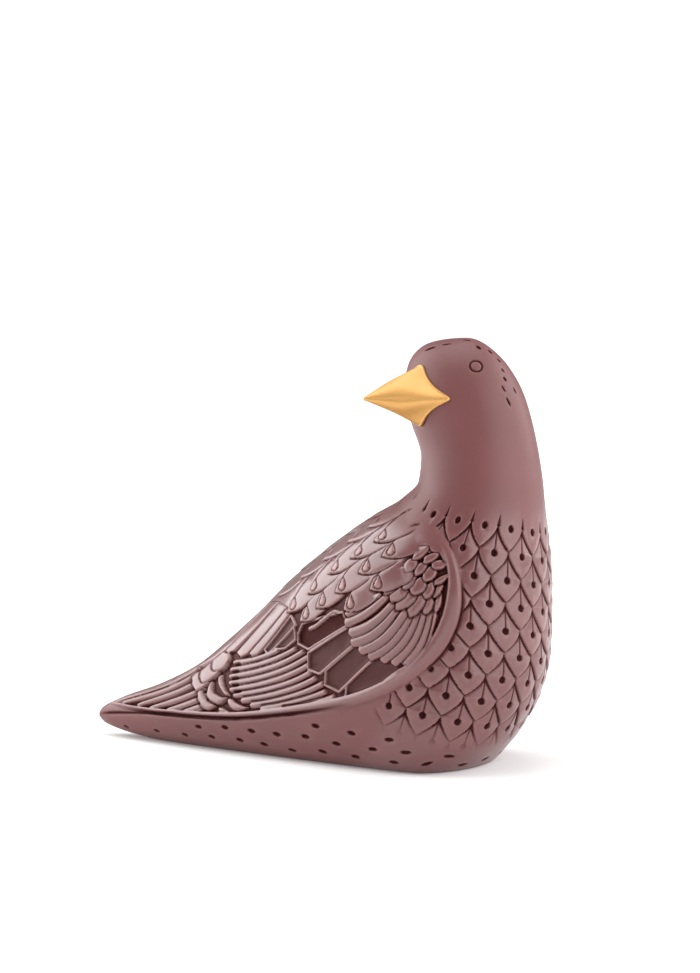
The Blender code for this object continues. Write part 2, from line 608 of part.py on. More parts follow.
def carving(grid, arc, width, normals):
    """Height of the carving over the smooth skin, in millimetres."""
    mirrored = np.abs(grid) * (0.0, -1.0, 0.0) + grid * (1.0, 0.0, 1.0)
    facing, right, up = sheet_axes()
    sheet = Sheet(mirrored @ right, mirrored @ up)
    wing_carving(sheet)
    toward = np.abs(normals[..., 1]) * -facing[1] + normals[..., 0] * facing[0]
    toward = toward + normals[..., 2] * facing[2]
    share = np.clip((toward - 0.12) / 0.15, 0.0, 1.0)
    rim = through(RIM_LINE)
    everywhere = sheet.near(rim, 400.0)
    ahead = np.zeros(grid.shape[:2])
    closed = np.vstack([rim, ((-132.0, 9.0), (-110.0, 70.0), (0.0, 78.0), (29.0, 50.0))])
    ahead[everywhere] = sheet.inside(closed, everywhere)
    wing = np.where(ahead > -4.0, sheet.height * share, 0.0)
    scales = scale_carving(grid, arc, width)
    beyond = np.clip((-ahead - 1.6) / 0.8, 0.0, 1.0)
    beyond = np.where(share > 0, beyond, 1.0)
    return wing + scales * beyond, share


def eye_positions(grid):
    """Centres of the two eyes on the skin, mirrored through the plane of the turned head."""
    heading = math.radians(BEAK_HEADING)
    forward = np.array((math.cos(heading), math.sin(heading)))
    side = np.array((-forward[1], forward[0]))
    site = np.array(EYE_SITE)
    _, front, back, widest = slice_sizes(np.array([site[2]]))
    axis = np.array(((front[0] + back[0]) / 2, 0.0))
    reach = site[:2] - axis
    other = reach - 2 * side * (reach @ side)
    return [site, np.array((*(axis + other), site[2]))]


def eye_cutter(number, site, grid, normals, collection):
    """Ring that engraves one eye, centred on the skin and lying flat on it."""
    level = int(np.argmin(np.abs(grid[:, 0, 2] - site[2])))
    ring = grid[level, :, :2]
    axis = ring.mean(axis=0)
    direction = (site[:2] - axis) / np.linalg.norm(site[:2] - axis)
    spoke = (ring - axis) / np.linalg.norm(ring - axis, axis=1, keepdims=True)
    place = int(np.argmax(spoke @ direction))
    centre = to_metres(grid[level, place])
    outward = normals[level, place]
    east = np.cross((0.0, 0.0, 1.0), outward)
    east = east / np.linalg.norm(east)
    north = np.cross(outward, east)
    points = []
    faces = []
    turns = 24
    sides = 6
    for k in range(turns):
        a = 2 * math.pi * k / turns
        spoke = east * math.cos(a) + north * math.sin(a)
        for j in range(sides):
            b = 2 * math.pi * (j + 0.5) / sides
            reach = EYE_RING_RADIUS + EYE_GROOVE * math.cos(b)
            points.append(centre + spoke * reach + outward * EYE_GROOVE * math.sin(b)
                          - outward * 0.4 * EYE_GROOVE)
            n = (k + 1) % turns
            m = (j + 1) % sides
            faces.append((k * sides + j, n * sides + j, n * sides + m, k * sides + m))
    cutter = mesh_object(f"eye_ring_{number}", points, faces, None, collection)
    cutter.display_type = "WIRE"
    cutter.hide_render = True
    return cutter


def mesh_object(name, points, faces, material, collection):
    """Object with one material from points and faces."""
    mesh = bpy.data.meshes.new(name)
    mesh.from_pydata([tuple(p) for p in points], [], [tuple(f) for f in faces])
    mesh.validate()
    mesh.update()
    if material:
        mesh.materials.append(material)
    thing = bpy.data.objects.new(name, mesh)
    collection.objects.link(thing)
    return thing


def ring_faces(levels, around):
    """Quads between neighbouring rings."""
    faces = []
    for k in range(levels - 1):
        for j in range(around):
            n = (j + 1) % around
            faces.append((k * around + j, k * around + n, (k + 1) * around + n,
                          (k + 1) * around + j))
    return faces


def build_body(material, collection, cutters):
    """The carved bird."""
    grid, arc, width = design_grid(LEVELS, AROUND)
    normals = grid_normals(grid)
    height, _ = carving(grid, arc, width, normals)
    height[0] = 0.0
    real = to_metres(grid)
    skin = real + grid_normals(real) * height[..., None] * 0.001
    skin[0, :, 2] = 0.0
    skin[1:, :, 2] = np.maximum(skin[1:, :, 2], 0.0002)
    points = list(skin.reshape(-1, 3))
    points.append(to_metres((SLICES[-1][2], 0.0, DESIGN_HEIGHT)))
    points.append(np.array((*skin[0].mean(axis=0)[:2], 0.0)))
    faces = ring_faces(LEVELS, AROUND)
    last = (LEVELS - 1) * AROUND
    for j in range(AROUND):
        n = (j + 1) % AROUND
        faces.append((last + j, last + n, len(points) - 2))
        faces.append((n, j, len(points) - 1))
    body = mesh_object("starling_body", points, faces, material, collection)
    thin = body.modifiers.new("coarser facets", "DECIMATE")
    thin.ratio = BODY_TRIANGLES / (2.0 * LEVELS * AROUND)
    bpy.context.view_layer.update()
    graph = bpy.context.evaluated_depsgraph_get()
    coarse = bpy.data.meshes.new_from_object(body.evaluated_get(graph))
    body.modifiers.clear()
    body.data = coarse
    settle(coarse)
    for number, site in enumerate(eye_positions(grid)):
        cut = body.modifiers.new(f"eye {number}", "BOOLEAN")
        cut.operation = "DIFFERENCE"
        cut.solver = "EXACT"
        cut.object = eye_cutter(number, site, grid, normals, cutters)
    return grid, normals


def settle(mesh):
    """Lay the underside of a mesh exactly on the ground."""
    points = np.zeros(len(mesh.vertices) * 3)
    mesh.vertices.foreach_get("co", points)
    points = points.reshape(-1, 3)
    low = points[:, 2] < 0.00015
    points[low, 2] = 0.0
    mesh.vertices.foreach_set("co", points.ravel())
    mesh.update()


class Face:
    """The skin round the beak, seen along the beak's direction."""

    def __init__(self, skin, normals, axis, forward, side):
        ahead = ((skin - axis) @ forward > 0) & (normals @ forward > 0.1)
        self.points = skin[ahead]
        self.normals = normals[ahead]
        self.along = (self.points - axis) @ forward
        self.beside = (self.points - axis) @ side
        self.forward = forward
        self.side = side

    def depth(self, across, level):
        """How far the skin lies from the head's axis at a sideways place and height."""
        gap = (self.beside - across) ** 2 + (self.points[:, 2] - level) ** 2
        k = int(np.argmin(gap))
        normal = self.normals[k]
        lean = normal @ self.side * (across - self.beside[k])
        lean += normal[2] * (level - self.points[k, 2])
        return self.along[k] - lean / (normal @ self.forward)


def beak_rim():
    """Outline of the beak's root: blunt corners joined by hollow curves."""
    corners = ((BEAK_CHEEK, 0.0), (0.0, BEAK_TOP), (-BEAK_CHEEK, 0.0),
               (BEAK_CHIN_ASIDE, -BEAK_CHIN))
    rim = []
    for a, b in zip(corners, corners[1:] + corners[:1]):
        middle = (BEAK_FLANK * (a[0] + b[0]), BEAK_FLANK * (a[1] + b[1]))
        rim.extend(bend((a, middle, b), 49)[:-1])
    rim = np.array(rim)
    steps = np.arange(-14, 15)
    weights = np.exp(-2.0 * (steps / BEAK_CORNER_SPREAD) ** 2)
    weights = weights / weights.sum()
    rim = sum(w * np.roll(rim, k, axis=0) for k, w in zip(steps, weights))
    return rim[:: len(rim) // BEAK_AROUND]


def rounded_section():
    """Soft four-sided section that the beak takes on ahead of its root.

    In each quarter across = a cos(q) ** p and above = b sin(q) ** p, slanted towards the chin.
    """
    q = np.linspace(0.0, 2 * math.pi, BEAK_AROUND, endpoint=False)
    across = np.sign(np.cos(q)) * np.abs(np.cos(q)) ** BEAK_ROUNDED_POWER
    above = np.sign(np.sin(q)) * np.abs(np.sin(q)) ** BEAK_ROUNDED_POWER
    tall = np.where(above > 0, BEAK_TOP * BEAK_ROUNDED_TOP, BEAK_CHIN * BEAK_ROUNDED_CHIN)
    across = across * BEAK_CHEEK * BEAK_ROUNDED_CHEEK + BEAK_CHIN_ASIDE * np.clip(-above, 0.0, 1.0)
    return np.column_stack([across, above * tall])


def build_beak(grid, grid_normal, material, collection):
    """Four-sided gilded beak whose back follows the face at the width of the seam."""
    heading = math.radians(BEAK_HEADING)
    forward = np.array((math.cos(heading), math.sin(heading), 0.0))
    side = np.array((-forward[1], forward[0], 0.0))
    _, front, back, _ = slice_sizes(np.array([BEAK_LEVEL]))
    axis = np.array(((front[0] + back[0]) / 2, 0.0, 0.0))
    rim = beak_rim()
    way = rim / np.linalg.norm(rim, axis=1, keepdims=True)
    face = Face(grid + grid_normal * BEAK_SEAM * 1000, grid_normal, axis, forward, side)
    depth = np.array([face.depth(c, BEAK_LEVEL + h) for c, h in rim])
    tip = axis + forward * BEAK_REACH + (0.0, 0.0, BEAK_LEVEL)

    def place(c, h, d):
        return axis + forward * d + side * c + np.array((0.0, 0.0, BEAK_LEVEL + h))

    rings = []
    for k in range(1, BACK_STEPS + 1):
        flat = rim * k / BACK_STEPS
        rings.append([place(c, h, face.depth(c, BEAK_LEVEL + h)) for c, h in flat])
    wall = depth + BEAK_EDGE - BEAK_FILLET
    rings.append([place(c, h, d) for (c, h), d in zip(rim, wall)])
    base = rim - way * BEAK_FILLET
    soft = rounded_section()
    for k in range(BEAK_STEPS + 1):
        t = k / BEAK_STEPS
        share = min(t / BEAK_ROUNDED_FROM, 1.0)
        share = share * share * (3.0 - 2.0 * share)
        section = base * (1 - share) + soft * share
        flat = section * (1 - t) + way * BEAK_TIP_RADIUS * t
        deep = (depth + BEAK_EDGE) * (1 - t) + (BEAK_REACH - BEAK_TIP_RADIUS) * t
        rings.append([place(c, h, d) for (c, h), d in zip(flat, deep)])
    points = [p for ring in rings for p in ring]
    around = len(rim)
    faces = ring_faces(len(rings), around)
    points.append(place(0.0, 0.0, face.depth(0.0, BEAK_LEVEL)))
    points.append(tip)
    last = (len(rings) - 1) * around
    for j in range(around):
        n = (j + 1) % around
        faces.append((n, j, len(points) - 2))
        faces.append((last + j, last + n, len(points) - 1))
    return mesh_object("gilded_beak", to_metres(points), faces, material, collection)


def finish(name, colour, roughness, metallic, coat):
    """Plain Principled material."""
    material = bpy.data.materials.new(name)
    material.use_nodes = True
    shader = material.node_tree.nodes["Principled BSDF"]
    shader.inputs["Base Color"].default_value = (*colour, 1.0)
    shader.inputs["Roughness"].default_value = roughness
    shader.inputs["Metallic"].default_value = metallic
    shader.inputs["Coat Weight"].default_value = coat
    return material


def main():
    """Build the figurine."""
    for thing in list(bpy.data.objects):
        bpy.data.objects.remove(thing, do_unlink=True)
    collection = bpy.data.collections.new("porcelain_starling")
    bpy.context.scene.collection.children.link(collection)
    cutters = bpy.data.collections.new("cutters")
    bpy.context.scene.collection.children.link(cutters)
    glaze = finish("burgundy_glaze", (0.27, 0.115, 0.115), 0.35, 0.0, 0.3)
    gold = finish("satin_gold", (0.80, 0.50, 0.18), 0.30, 1.0, 0.0)
    grid, normals = build_body(glaze, collection, cutters)
    build_beak(grid, normals, gold, collection)


main()
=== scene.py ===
"""Porcelain starling figurine: the glazed bird with its full carving, and the gilded beak.

The bird's skin is a stack of level slices worked out as whole arrays. The carving is a height over
that skin, drawn on a flat board for the wing, on the slices' own run for the breast scales, and
round points for the small pressed marks. Lengths in the drawings are millimetres of the nominal
bird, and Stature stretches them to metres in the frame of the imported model: +X forward, +Y the
bird's left, +Z up, underside on Z = 0.
"""

import logging
import math
from dataclasses import dataclass, field
from enum import Enum

import bpy
import numpy as np
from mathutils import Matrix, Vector

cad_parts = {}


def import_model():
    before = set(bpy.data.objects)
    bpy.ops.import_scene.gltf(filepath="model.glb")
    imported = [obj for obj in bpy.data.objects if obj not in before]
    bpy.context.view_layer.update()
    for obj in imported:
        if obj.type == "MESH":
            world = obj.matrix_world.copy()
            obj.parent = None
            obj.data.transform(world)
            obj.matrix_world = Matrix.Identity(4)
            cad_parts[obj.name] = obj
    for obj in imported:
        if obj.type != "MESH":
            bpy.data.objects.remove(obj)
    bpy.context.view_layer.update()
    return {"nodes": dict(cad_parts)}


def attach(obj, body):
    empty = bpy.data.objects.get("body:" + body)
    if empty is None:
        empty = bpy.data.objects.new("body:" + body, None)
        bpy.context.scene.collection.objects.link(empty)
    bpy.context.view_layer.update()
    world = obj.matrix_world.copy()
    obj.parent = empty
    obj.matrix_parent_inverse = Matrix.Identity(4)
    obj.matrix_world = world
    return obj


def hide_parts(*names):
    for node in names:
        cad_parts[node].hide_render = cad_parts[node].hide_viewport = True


log = logging.getLogger("starling")

Pair = tuple[float, float]
Triple = tuple[float, float, float]

MILLIMETRE = 0.001


class Roll(Enum):
    """Cross-section of a carved feather or rib."""

    BAR = "rounded bar"
    PAD = "flat pad with rounded edges"


class Field(Enum):
    """Point attributes that carry the carving into the glaze, painted shade and painted highlight
    included.
    """

    # Darker in hollows: partly glaze pooling, partly painted shade and painted dark reflection.
    HOLLOW = "glaze_pool_and_shade"
    # Paler over crests: partly glaze running thin, partly painted highlight.
    CREST = "glaze_thin_and_highlight"
    GLOSS = "glaze_gloss"


def curve_through(x: np.ndarray, xs: np.ndarray, ys: np.ndarray) -> np.ndarray:
    """Smooth curve through known points that never overshoots them.

    Piece i is the cubic h00*y0 + h10*gap*m0 + h01*y1 + h11*gap*m1 with harmonic-mean slopes m.

    Args:
        x: Places where the curve is asked.
        xs: Rising places of the known points.
        ys: Values of the known points.

    Returns:
        Values at x.
    """
    xs = np.asarray(xs, float)
    ys = np.asarray(ys, float)
    gap = np.diff(xs)
    slope = np.diff(ys) / gap
    tangent = np.zeros(len(xs))
    first = 2.0 * gap[1:] + gap[:-1]
    second = gap[1:] + 2.0 * gap[:-1]
    with np.errstate(divide="ignore", invalid="ignore"):
        mean = (first + second) / (first / slope[:-1] + second / slope[1:])
    tangent[1:-1] = np.where(slope[:-1] * slope[1:] > 0, mean, 0.0)
    tangent[0] = slope[0]
    tangent[-1] = slope[-1]
    i = np.clip(np.searchsorted(xs, x) - 1, 0, len(gap) - 1)
    t = (x - xs[i]) / gap[i]
    rise = (2 * t**3 - 3 * t**2 + 1) * ys[i] + (3 * t**2 - 2 * t**3) * ys[i + 1]
    lean = (t**3 - 2 * t**2 + t) * tangent[i] + (t**3 - t**2) * tangent[i + 1]
    return rise + gap[i] * lean


def bend(points: tuple[Pair, ...] | np.ndarray, steps: int) -> np.ndarray:
    """Bezier curve: B(t) = (1-t)*B0(t) + t*B1(t), taken down to the control points.

    Args:
        points: Control points.
        steps: Number of points on the curve.

    Returns:
        Array of steps points.
    """
    t = np.linspace(0.0, 1.0, steps)[:, None]
    rows = [np.array(p, float)[None, :] + 0.0 * t for p in points]
    while len(rows) > 1:
        rows = [a * (1 - t) + b * t for a, b in zip(rows, rows[1:])]
    return rows[0]


def through(points: tuple[Pair, ...] | np.ndarray, steps: int = 8) -> np.ndarray:
    """Flowing line through points, Catmull-Rom: P = (2b + (c-a)t + ...)/2 on each stretch.

    Args:
        points: Points on the line.
        steps: Steps between two points.

    Returns:
        Points of the line.
    """
    p = np.array(points, float)
    p = np.vstack([2 * p[0] - p[1], p, 2 * p[-1] - p[-2]])
    t = np.linspace(0.0, 1.0, steps, endpoint=False)[:, None]
    line = [
        0.5 * (2 * b + (c - a) * t + (2 * a - 5 * b + 4 * c - d) * t**2
               + (3 * b - a - 3 * c + d) * t**3)
        for a, b, c, d in zip(p, p[1:], p[2:], p[3:])
    ]
    return np.vstack([*line, p[-2:-1]])


def closed_through(corners: np.ndarray) -> np.ndarray:
    """Closed outline that flows through its corners, four steps to each."""
    return through(np.vstack([corners, corners[:1]]), 4)[:-1]


def unit(vector: np.ndarray) -> np.ndarray:
    """Vector, or vectors along the last axis, of length one."""
    length = np.linalg.norm(vector, axis=-1, keepdims=True)
    return vector / np.maximum(length, 1e-12)


def smooth_step(x: np.ndarray, low: float, high: float) -> np.ndarray:
    """Soft 0 to 1 step 3s^2 - 2s^3 with s = (x - low) / (high - low) held in 0..1."""
    s = np.clip((x - low) / (high - low), 0.0, 1.0)
    return s * s * (3.0 - 2.0 * s)


def soften(values: np.ndarray, reach: int) -> np.ndarray:
    """Gaussian mean over grid neighbours, w(k) = exp(-2 (k/reach)^2), along both axes.

    Args:
        values: Levels by around grid, joined up around.
        reach: Neighbours on each side.

    Returns:
        Softened grid.
    """
    weights = np.exp(-2.0 * (np.arange(-reach, reach + 1) / reach) ** 2)
    weights = weights / weights.sum()
    padded = np.pad(values, ((0, 0), (reach, reach)), mode="wrap")
    across = sum(w * padded[:, k:k + values.shape[1]] for k, w in enumerate(weights))
    padded = np.pad(across, ((reach, reach), (0, 0)), mode="edge")
    return sum(w * padded[k:k + values.shape[0]] for k, w in enumerate(weights))


@dataclass(frozen=True)
class Stature:
    """Real size of the bird, and the size in which it is drawn."""

    length: float = 0.1775
    width: float = 0.0776
    height: float = 0.150
    drawn: Triple = (177.5, 77.6, 150.0)
    drawn_middle: float = -49.75

    def place(self, points: np.ndarray) -> np.ndarray:
        """Drawn millimetres to metres in the frame: (p - middle) * real / drawn."""
        shifted = np.asarray(points, float) - (self.drawn_middle, 0.0, 0.0)
        return shifted * (np.array((self.length, self.width, self.height)) / self.drawn)


@dataclass
class Skin:
    """Smooth skin as rings of points, one ring per level.

    Attributes:
        points: Levels by around by 3, drawn millimetres.
        arc: Run from the front midline along the ring, positive on the bird's left.
        half_width: Half width of each ring.
        normals: Outward unit normals.
    """

    points: np.ndarray
    arc: np.ndarray
    half_width: np.ndarray
    normals: np.ndarray = field(init=False)

    def __post_init__(self) -> None:
        """Work out the normals as east x up on the grid."""
        east = np.roll(self.points, -1, axis=1) - np.roll(self.points, 1, axis=1)
        self.normals = unit(np.cross(east, np.gradient(self.points, axis=0)))


@dataclass(frozen=True)
class BirdForm:
    """The smooth body: a table of level slices from the flat underside to the crown.

    Each slice row holds height, half width, front of the breast, back end, widest place.
    """

    drawn_height: float = 150.0
    tail_end_half_width: float = 3.2
    tail_end_top: float = 34.0
    tail_end_fade: float = 20.0
    slices: tuple[tuple[float, ...], ...] = (
        (0.0, 29.0, 17.5, -119.0, 0.0), (2.0, 31.5, 19.4, -129.5, 0.0),
        (4.5, 33.5, 21.6, -136.6, 0.0), (7.0, 34.6, 23.8, -138.5, 0.0),
        (9.0, 35.2, 25.6, -137.6, 0.0), (14.0, 36.2, 28.9, -128.7, 0.0),
        (20.0, 37.2, 32.8, -113.0, 0.0), (28.0, 38.0, 36.1, -97.4, 0.0),
        (38.0, 38.6, 38.4, -84.7, 0.0), (50.0, 38.8, 39.0, -71.1, 0.0),
        (62.0, 38.2, 39.0, -58.6, 0.5), (72.0, 36.0, 38.7, -46.3, 2.5),
        (80.0, 32.6, 38.0, -35.4, 5.0), (87.0, 29.0, 37.3, -24.6, 7.5),
        (93.0, 26.2, 36.7, -14.2, 10.5), (100.0, 23.8, 36.1, -6.8, 13.0),
        (108.0, 22.2, 35.0, -6.0, 12.6), (120.0, 20.4, 32.6, -10.2, 10.0),
        (131.0, 18.4, 29.1, -13.7, 8.0), (140.0, 14.6, 23.9, -12.4, 6.2),
        (147.0, 8.6, 16.8, -7.0, 5.0), (150.0, 0.0, 9.0, 9.0, 9.0),
    )
    rear_shape: tuple[Triple, ...] = (
        (0.0, 1.25, 0.95), (40.0, 1.50, 0.80), (85.0, 1.90, 0.55), (100.0, 2.0, 0.50),
        (150.0, 2.0, 0.50),
    )

    def sizes_at(self, z: np.ndarray) -> list[np.ndarray]:
        """Slice sizes at heights z, from the table.

        Args:
            z: Heights.

        Returns:
            Half width, front, back and widest place.
        """
        table = np.array(self.slices)[::-1]
        known = self.below_crown(table[:, 0])
        asked = self.below_crown(z)
        return [curve_through(asked, known, table[:, k]) for k in range(1, 5)]

    def below_crown(self, z: np.ndarray) -> np.ndarray:
        """Measure s = sqrt((H - z) / H), over which the crown closes as a dome."""
        return np.sqrt(np.maximum(self.drawn_height - z, 0.0) / self.drawn_height)

    def skin(self, levels: int, around: int) -> Skin:
        """Rings of points evenly spaced along themselves.

        Front half: x = w + (f - w) cos a, y = W sin a. Rear half: x = w - (w - b) s and
        y = W (1 - s^p)^q, with s = sin a, fullness p and bluntness q.

        Args:
            levels: Number of rings.
            around: Points of a ring, an even number.

        Returns:
            The smooth skin.
        """
        z = np.linspace(0.0, self.drawn_height, 6000)
        width, front, back, _ = self.sizes_at(z)
        move = np.diff(z) ** 2 + 0.5 * (
            np.diff(width) ** 2 + np.diff(front) ** 2 + np.diff(back) ** 2)
        run = np.concatenate([[0.0], np.cumsum(np.sqrt(move))])
        z = np.interp(np.linspace(0.0, run[-1], levels + 1)[:-1], run, z)
        width, front, back, widest = (row[:, None] for row in self.sizes_at(z))
        shape = np.array(self.rear_shape)
        full = curve_through(z, shape[:, 0], shape[:, 1])[:, None]
        blunt = curve_through(z, shape[:, 0], shape[:, 2])[:, None]
        end = np.clip((self.tail_end_top - z) / self.tail_end_fade, 0.0, 1.0)[:, None]
        end = self.tail_end_half_width * end
        turn = np.linspace(0.0, math.pi / 2, 400, endpoint=False)[None, :]
        rear = np.sin(np.linspace(0.0, math.pi / 2, 900))[None, :]
        x = np.hstack([widest + (front - widest) * np.cos(turn), widest - (widest - back) * rear])
        side = width * np.maximum(1.0 - rear**full, 0.0) ** blunt
        side = side + end * rear**2 * np.sqrt(np.maximum(1.0 - rear**12, 0.0))
        y = np.hstack([width * np.sin(turn), side])
        step = np.hypot(np.diff(x, axis=1), np.diff(y, axis=1))
        along = np.hstack([np.zeros((levels, 1)), np.cumsum(step, axis=1)])
        half = around // 2
        asked = along[:, -1:] * np.linspace(0.0, 1.0, half + 1)[None, :]
        lift = 1000.0 * np.arange(levels)[:, None]
        known = (along + lift).ravel()
        even_x = np.interp((asked + lift).ravel(), known, x.ravel()).reshape(asked.shape)
        even_y = np.interp((asked + lift).ravel(), known, y.ravel()).reshape(asked.shape)
        mirror = slice(half - 1, 0, -1)
        grid = np.zeros((levels, around, 3))
        grid[..., 0] = np.hstack([even_x, even_x[:, mirror]])
        grid[..., 1] = np.hstack([even_y, -even_y[:, mirror]])
        grid[..., 2] = z[:, None]
        arc = np.hstack([asked, -asked[:, mirror]])
        return Skin(grid, arc, width[:, 0])


@dataclass(frozen=True)
class Stand:
    """How a shape stands on the board, in millimetres.

    Attributes:
        level: Height of its foot.
        height: Height of its crest over the foot.
        kind: Cross-section.
        groove: Depth and width of the groove pressed round it.
    """

    level: float
    height: float
    kind: Roll
    groove: Pair


@dataclass(frozen=True)
class Score:
    """Engraved dark line, in millimetres.

    Attributes:
        half: Half its width.
        depth: Depth in its middle.
        fade: The ends fade over 1 / fade of its run.
    """

    half: float
    depth: float
    fade: float = 4.0


@dataclass(frozen=True)
class Sink:
    """Sunken field in a rounded border, in millimetres.

    Attributes:
        level: Height of the border's crest.
        border: Its width.
        depth: Depth of the field under the crest.
    """

    level: float
    border: float
    depth: float


@dataclass
class WingBoard:
    """Flat drawing board for one wing: heights and glaze over board points u, v.

    Attributes:
        u: Rightward places of the skin points on the board, millimetres.
        v: Upward places.
        height: Height over the smooth skin.
        pool: Glaze pooling and painted shade there, 0..1.
        pale: Glaze thinned over a raised drop, with painted highlight, 0..1.
        brim: Width over which a pad's edge is rounded.
        leaf_half: Half width of a leaf.
        roll_start: Run over which a roll rises.
        lance_brim: How far a lance-shaped feather's edge is rounded down.
        least_reach: Least width over which an edge is rounded.
        outer_fall: Fall of a border's outer half.
        field_shade: Where pooling glaze and painted shade set in and are full, in border widths.
        bead_rise: Width over which a drop rises.
        bead_pale: Width over which it turns pale, thin glaze and painted highlight.
        bed_pool_and_shade: Glaze pooling and painted shade on the bed, 0..1.
        cut_pool_and_shade: How fast glaze pooling and painted shade gather with a cut line's depth.
        groove_pool_and_shade: How fast they gather in the groove round a shape.
    """

    u: np.ndarray
    v: np.ndarray
    height: np.ndarray = field(init=False)
    pool: np.ndarray = field(init=False)
    pale: np.ndarray = field(init=False)
    brim: float = 0.9
    leaf_half: float = 1.45
    roll_start: float = 8.0
    lance_brim: float = 0.22
    least_reach: float = 0.3
    outer_fall: float = 0.55
    field_shade: Pair = (0.6, 0.95)
    bead_rise: float = 0.5
    bead_pale: float = 0.4
    bed_pool_and_shade: float = 0.9
    cut_pool_and_shade: float = 1.8
    groove_pool_and_shade: float = 2.0

    def __post_init__(self) -> None:
        """Start with a bare board."""
        self.height, self.pool, self.pale = (np.zeros(self.u.shape) for _ in range(3))

    def near(self, line: np.ndarray, margin: float) -> tuple[np.ndarray, ...]:
        """Points of the board inside a line's box, widened by a margin.

        Args:
            line: Points of the line.
            margin: Widening on each side.

        Returns:
            Indices of the board points.
        """
        low = line.min(axis=0) - margin
        high = line.max(axis=0) + margin
        held = (self.u > low[0]) & (self.u < high[0]) & (self.v > low[1]) & (self.v < high[1])
        return np.nonzero(held)

    def along(self, line: np.ndarray, where: tuple) -> tuple[np.ndarray, np.ndarray, float]:
        """Run along a line and distance from it, with t = clip((p - a).d / |d|^2, 0, 1).

        Args:
            line: Points of the line.
            where: Indices of the board points.

        Returns:
            Run, distance and the line's whole length.
        """
        u = self.u[where]
        v = self.v[where]
        away = np.full(u.shape, 1e9)
        run = np.zeros(u.shape)
        start = 0.0
        for (x0, y0), (x1, y1) in zip(line, line[1:]):
            dx, dy = x1 - x0, y1 - y0
            length = max(math.hypot(dx, dy), 1e-9)
            t = np.clip(((u - x0) * dx + (v - y0) * dy) / length**2, 0.0, 1.0)
            gap = np.hypot(u - x0 - t * dx, v - y0 - t * dy)
            nearer = gap < away
            away = np.where(nearer, gap, away)
            run = np.where(nearer, start + t * length, run)
            start += length
        return run, away, start

    def inside(self, outline: np.ndarray, where: tuple) -> np.ndarray:
        """Distance to a closed outline, positive inside, by even-odd crossings.

        Args:
            outline: Closed outline.
            where: Indices of the board points.

        Returns:
            Distances.
        """
        u = self.u[where]
        v = self.v[where]
        closed = np.vstack([outline, outline[:1]])
        _, away, _ = self.along(closed, where)
        crossed = np.zeros(u.shape, int)
        for (x0, y0), (x1, y1) in zip(closed, closed[1:]):
            if y0 == y1:
                continue
            spans = (v > min(y0, y1)) & (v <= max(y0, y1))
            crossed += spans & (u < x0 + (v - y0) * (x1 - x0) / (y1 - y0))
        return np.where(crossed % 2 == 1, away, -away)

    def bed(self, outline: np.ndarray, level: float, soft: float) -> None:
        """Sink the ground inside an outline to a level over a slope, and darken it there:
        glaze pooling and painted shade.

        Args:
            outline: Closed outline.
            level: Height of the bed.
            soft: Width of the slope.
        """
        where = self.near(outline, 2.0)
        share = np.clip(self.inside(outline, where) / soft + 0.5, 0.0, 1.0)
        self.height[where] = self.height[where] * (1 - share) + level * share
        self.pool[where] = np.maximum(self.pool[where], self.bed_pool_and_shade * share)

    def roll(self, line: np.ndarray, halves: tuple[float, ...], height: float,
             level: float) -> None:
        """Rounded roll: level + height * clip(run / start, 0, 1) * sqrt(1 - (d / half)^2).

        Args:
            line: Middle line.
            halves: Half widths along it.
            height: Height over the foot.
            level: Height of the foot.
        """
        where = self.near(line, max(halves) + 1.0)
        run, away, total = self.along(line, where)
        half = np.interp(run / total, np.linspace(0, 1, len(halves)), halves)
        share = np.clip(away / half, 0.0, 1.0)
        risen = np.clip(run / self.roll_start, 0.0, 1.0)
        top = level + height * risen * np.sqrt(1.0 - share**2)
        self.height[where] = np.where(share < 1.0, np.maximum(self.height[where], top),
                                      self.height[where])
        self.pool[where] *= smooth_step(share, 0.9, 1.0)

    def cut(self, line: np.ndarray, score: Score) -> None:
        """Engraved line, dark from glaze pooling and painted shade: depth * (1 - d / half),
        fading at both ends.

        Args:
            line: Points of the line.
            score: Its width, depth and fading.
        """
        where = self.near(line, score.half + 0.5)
        run, away, total = self.along(line, where)
        s = run / total
        ends = np.clip(score.fade * s, 0.0, 1.0) * np.clip(score.fade * (1.0 - s), 0.0, 1.0)
        groove = ends * np.clip(1.0 - away / score.half, 0.0, 1.0)
        self.height[where] -= score.depth * groove
        pooling_and_shade = np.clip(self.cut_pool_and_shade * groove, 0.0, 1.0)
        self.pool[where] = np.maximum(self.pool[where], pooling_and_shade)

    def swell(self, kind: Roll, edge: np.ndarray, half: np.ndarray | float) -> np.ndarray:
        """Rounded rise from an edge: sqrt(1 - (1 - e / reach)^2).

        Args:
            kind: Cross-section; a bar rises over its half width, a pad over its brim.
            edge: Distance e inside the edge.
            half: Half width.

        Returns:
            Share of the full height.
        """
        reach = np.maximum(half, self.least_reach)
        if kind is Roll.PAD:
            reach = np.minimum(reach, self.brim)
        inward = np.clip(edge / reach, 0.0, 1.0)
        return np.sqrt(1.0 - (1.0 - inward) ** 2)

    def stamp(self, where: tuple, edge: np.ndarray, top: np.ndarray, groove: Pair,
              share: np.ndarray | float = 1.0) -> None:
        """Set a raised shape on the board, with a dark groove pressed round it.

        Args:
            where: Indices of the board points.
            edge: Distance inside the shape's edge, negative outside.
            top: Height of the shape.
            groove: Depth and width of the groove.
            share: How far the shape shows, 0..1.
        """
        depth, wide = groove
        ring = np.clip(1.0 + edge / wide, 0.0, 1.0) * (edge <= 0) * share
        ground = self.height[where]
        self.height[where] = np.where(edge > 0, ground + (top - ground) * share,
                                      ground - depth * ring)
        # The groove darkens with glaze pooling and painted shade; the raised shape clears it.
        pooling_and_shade = np.clip(self.groove_pool_and_shade * ring, 0.0, 1.0)
        self.pool[where] = np.where(edge > 0, self.pool[where] * (1.0 - share),
                                    np.maximum(self.pool[where], pooling_and_shade))

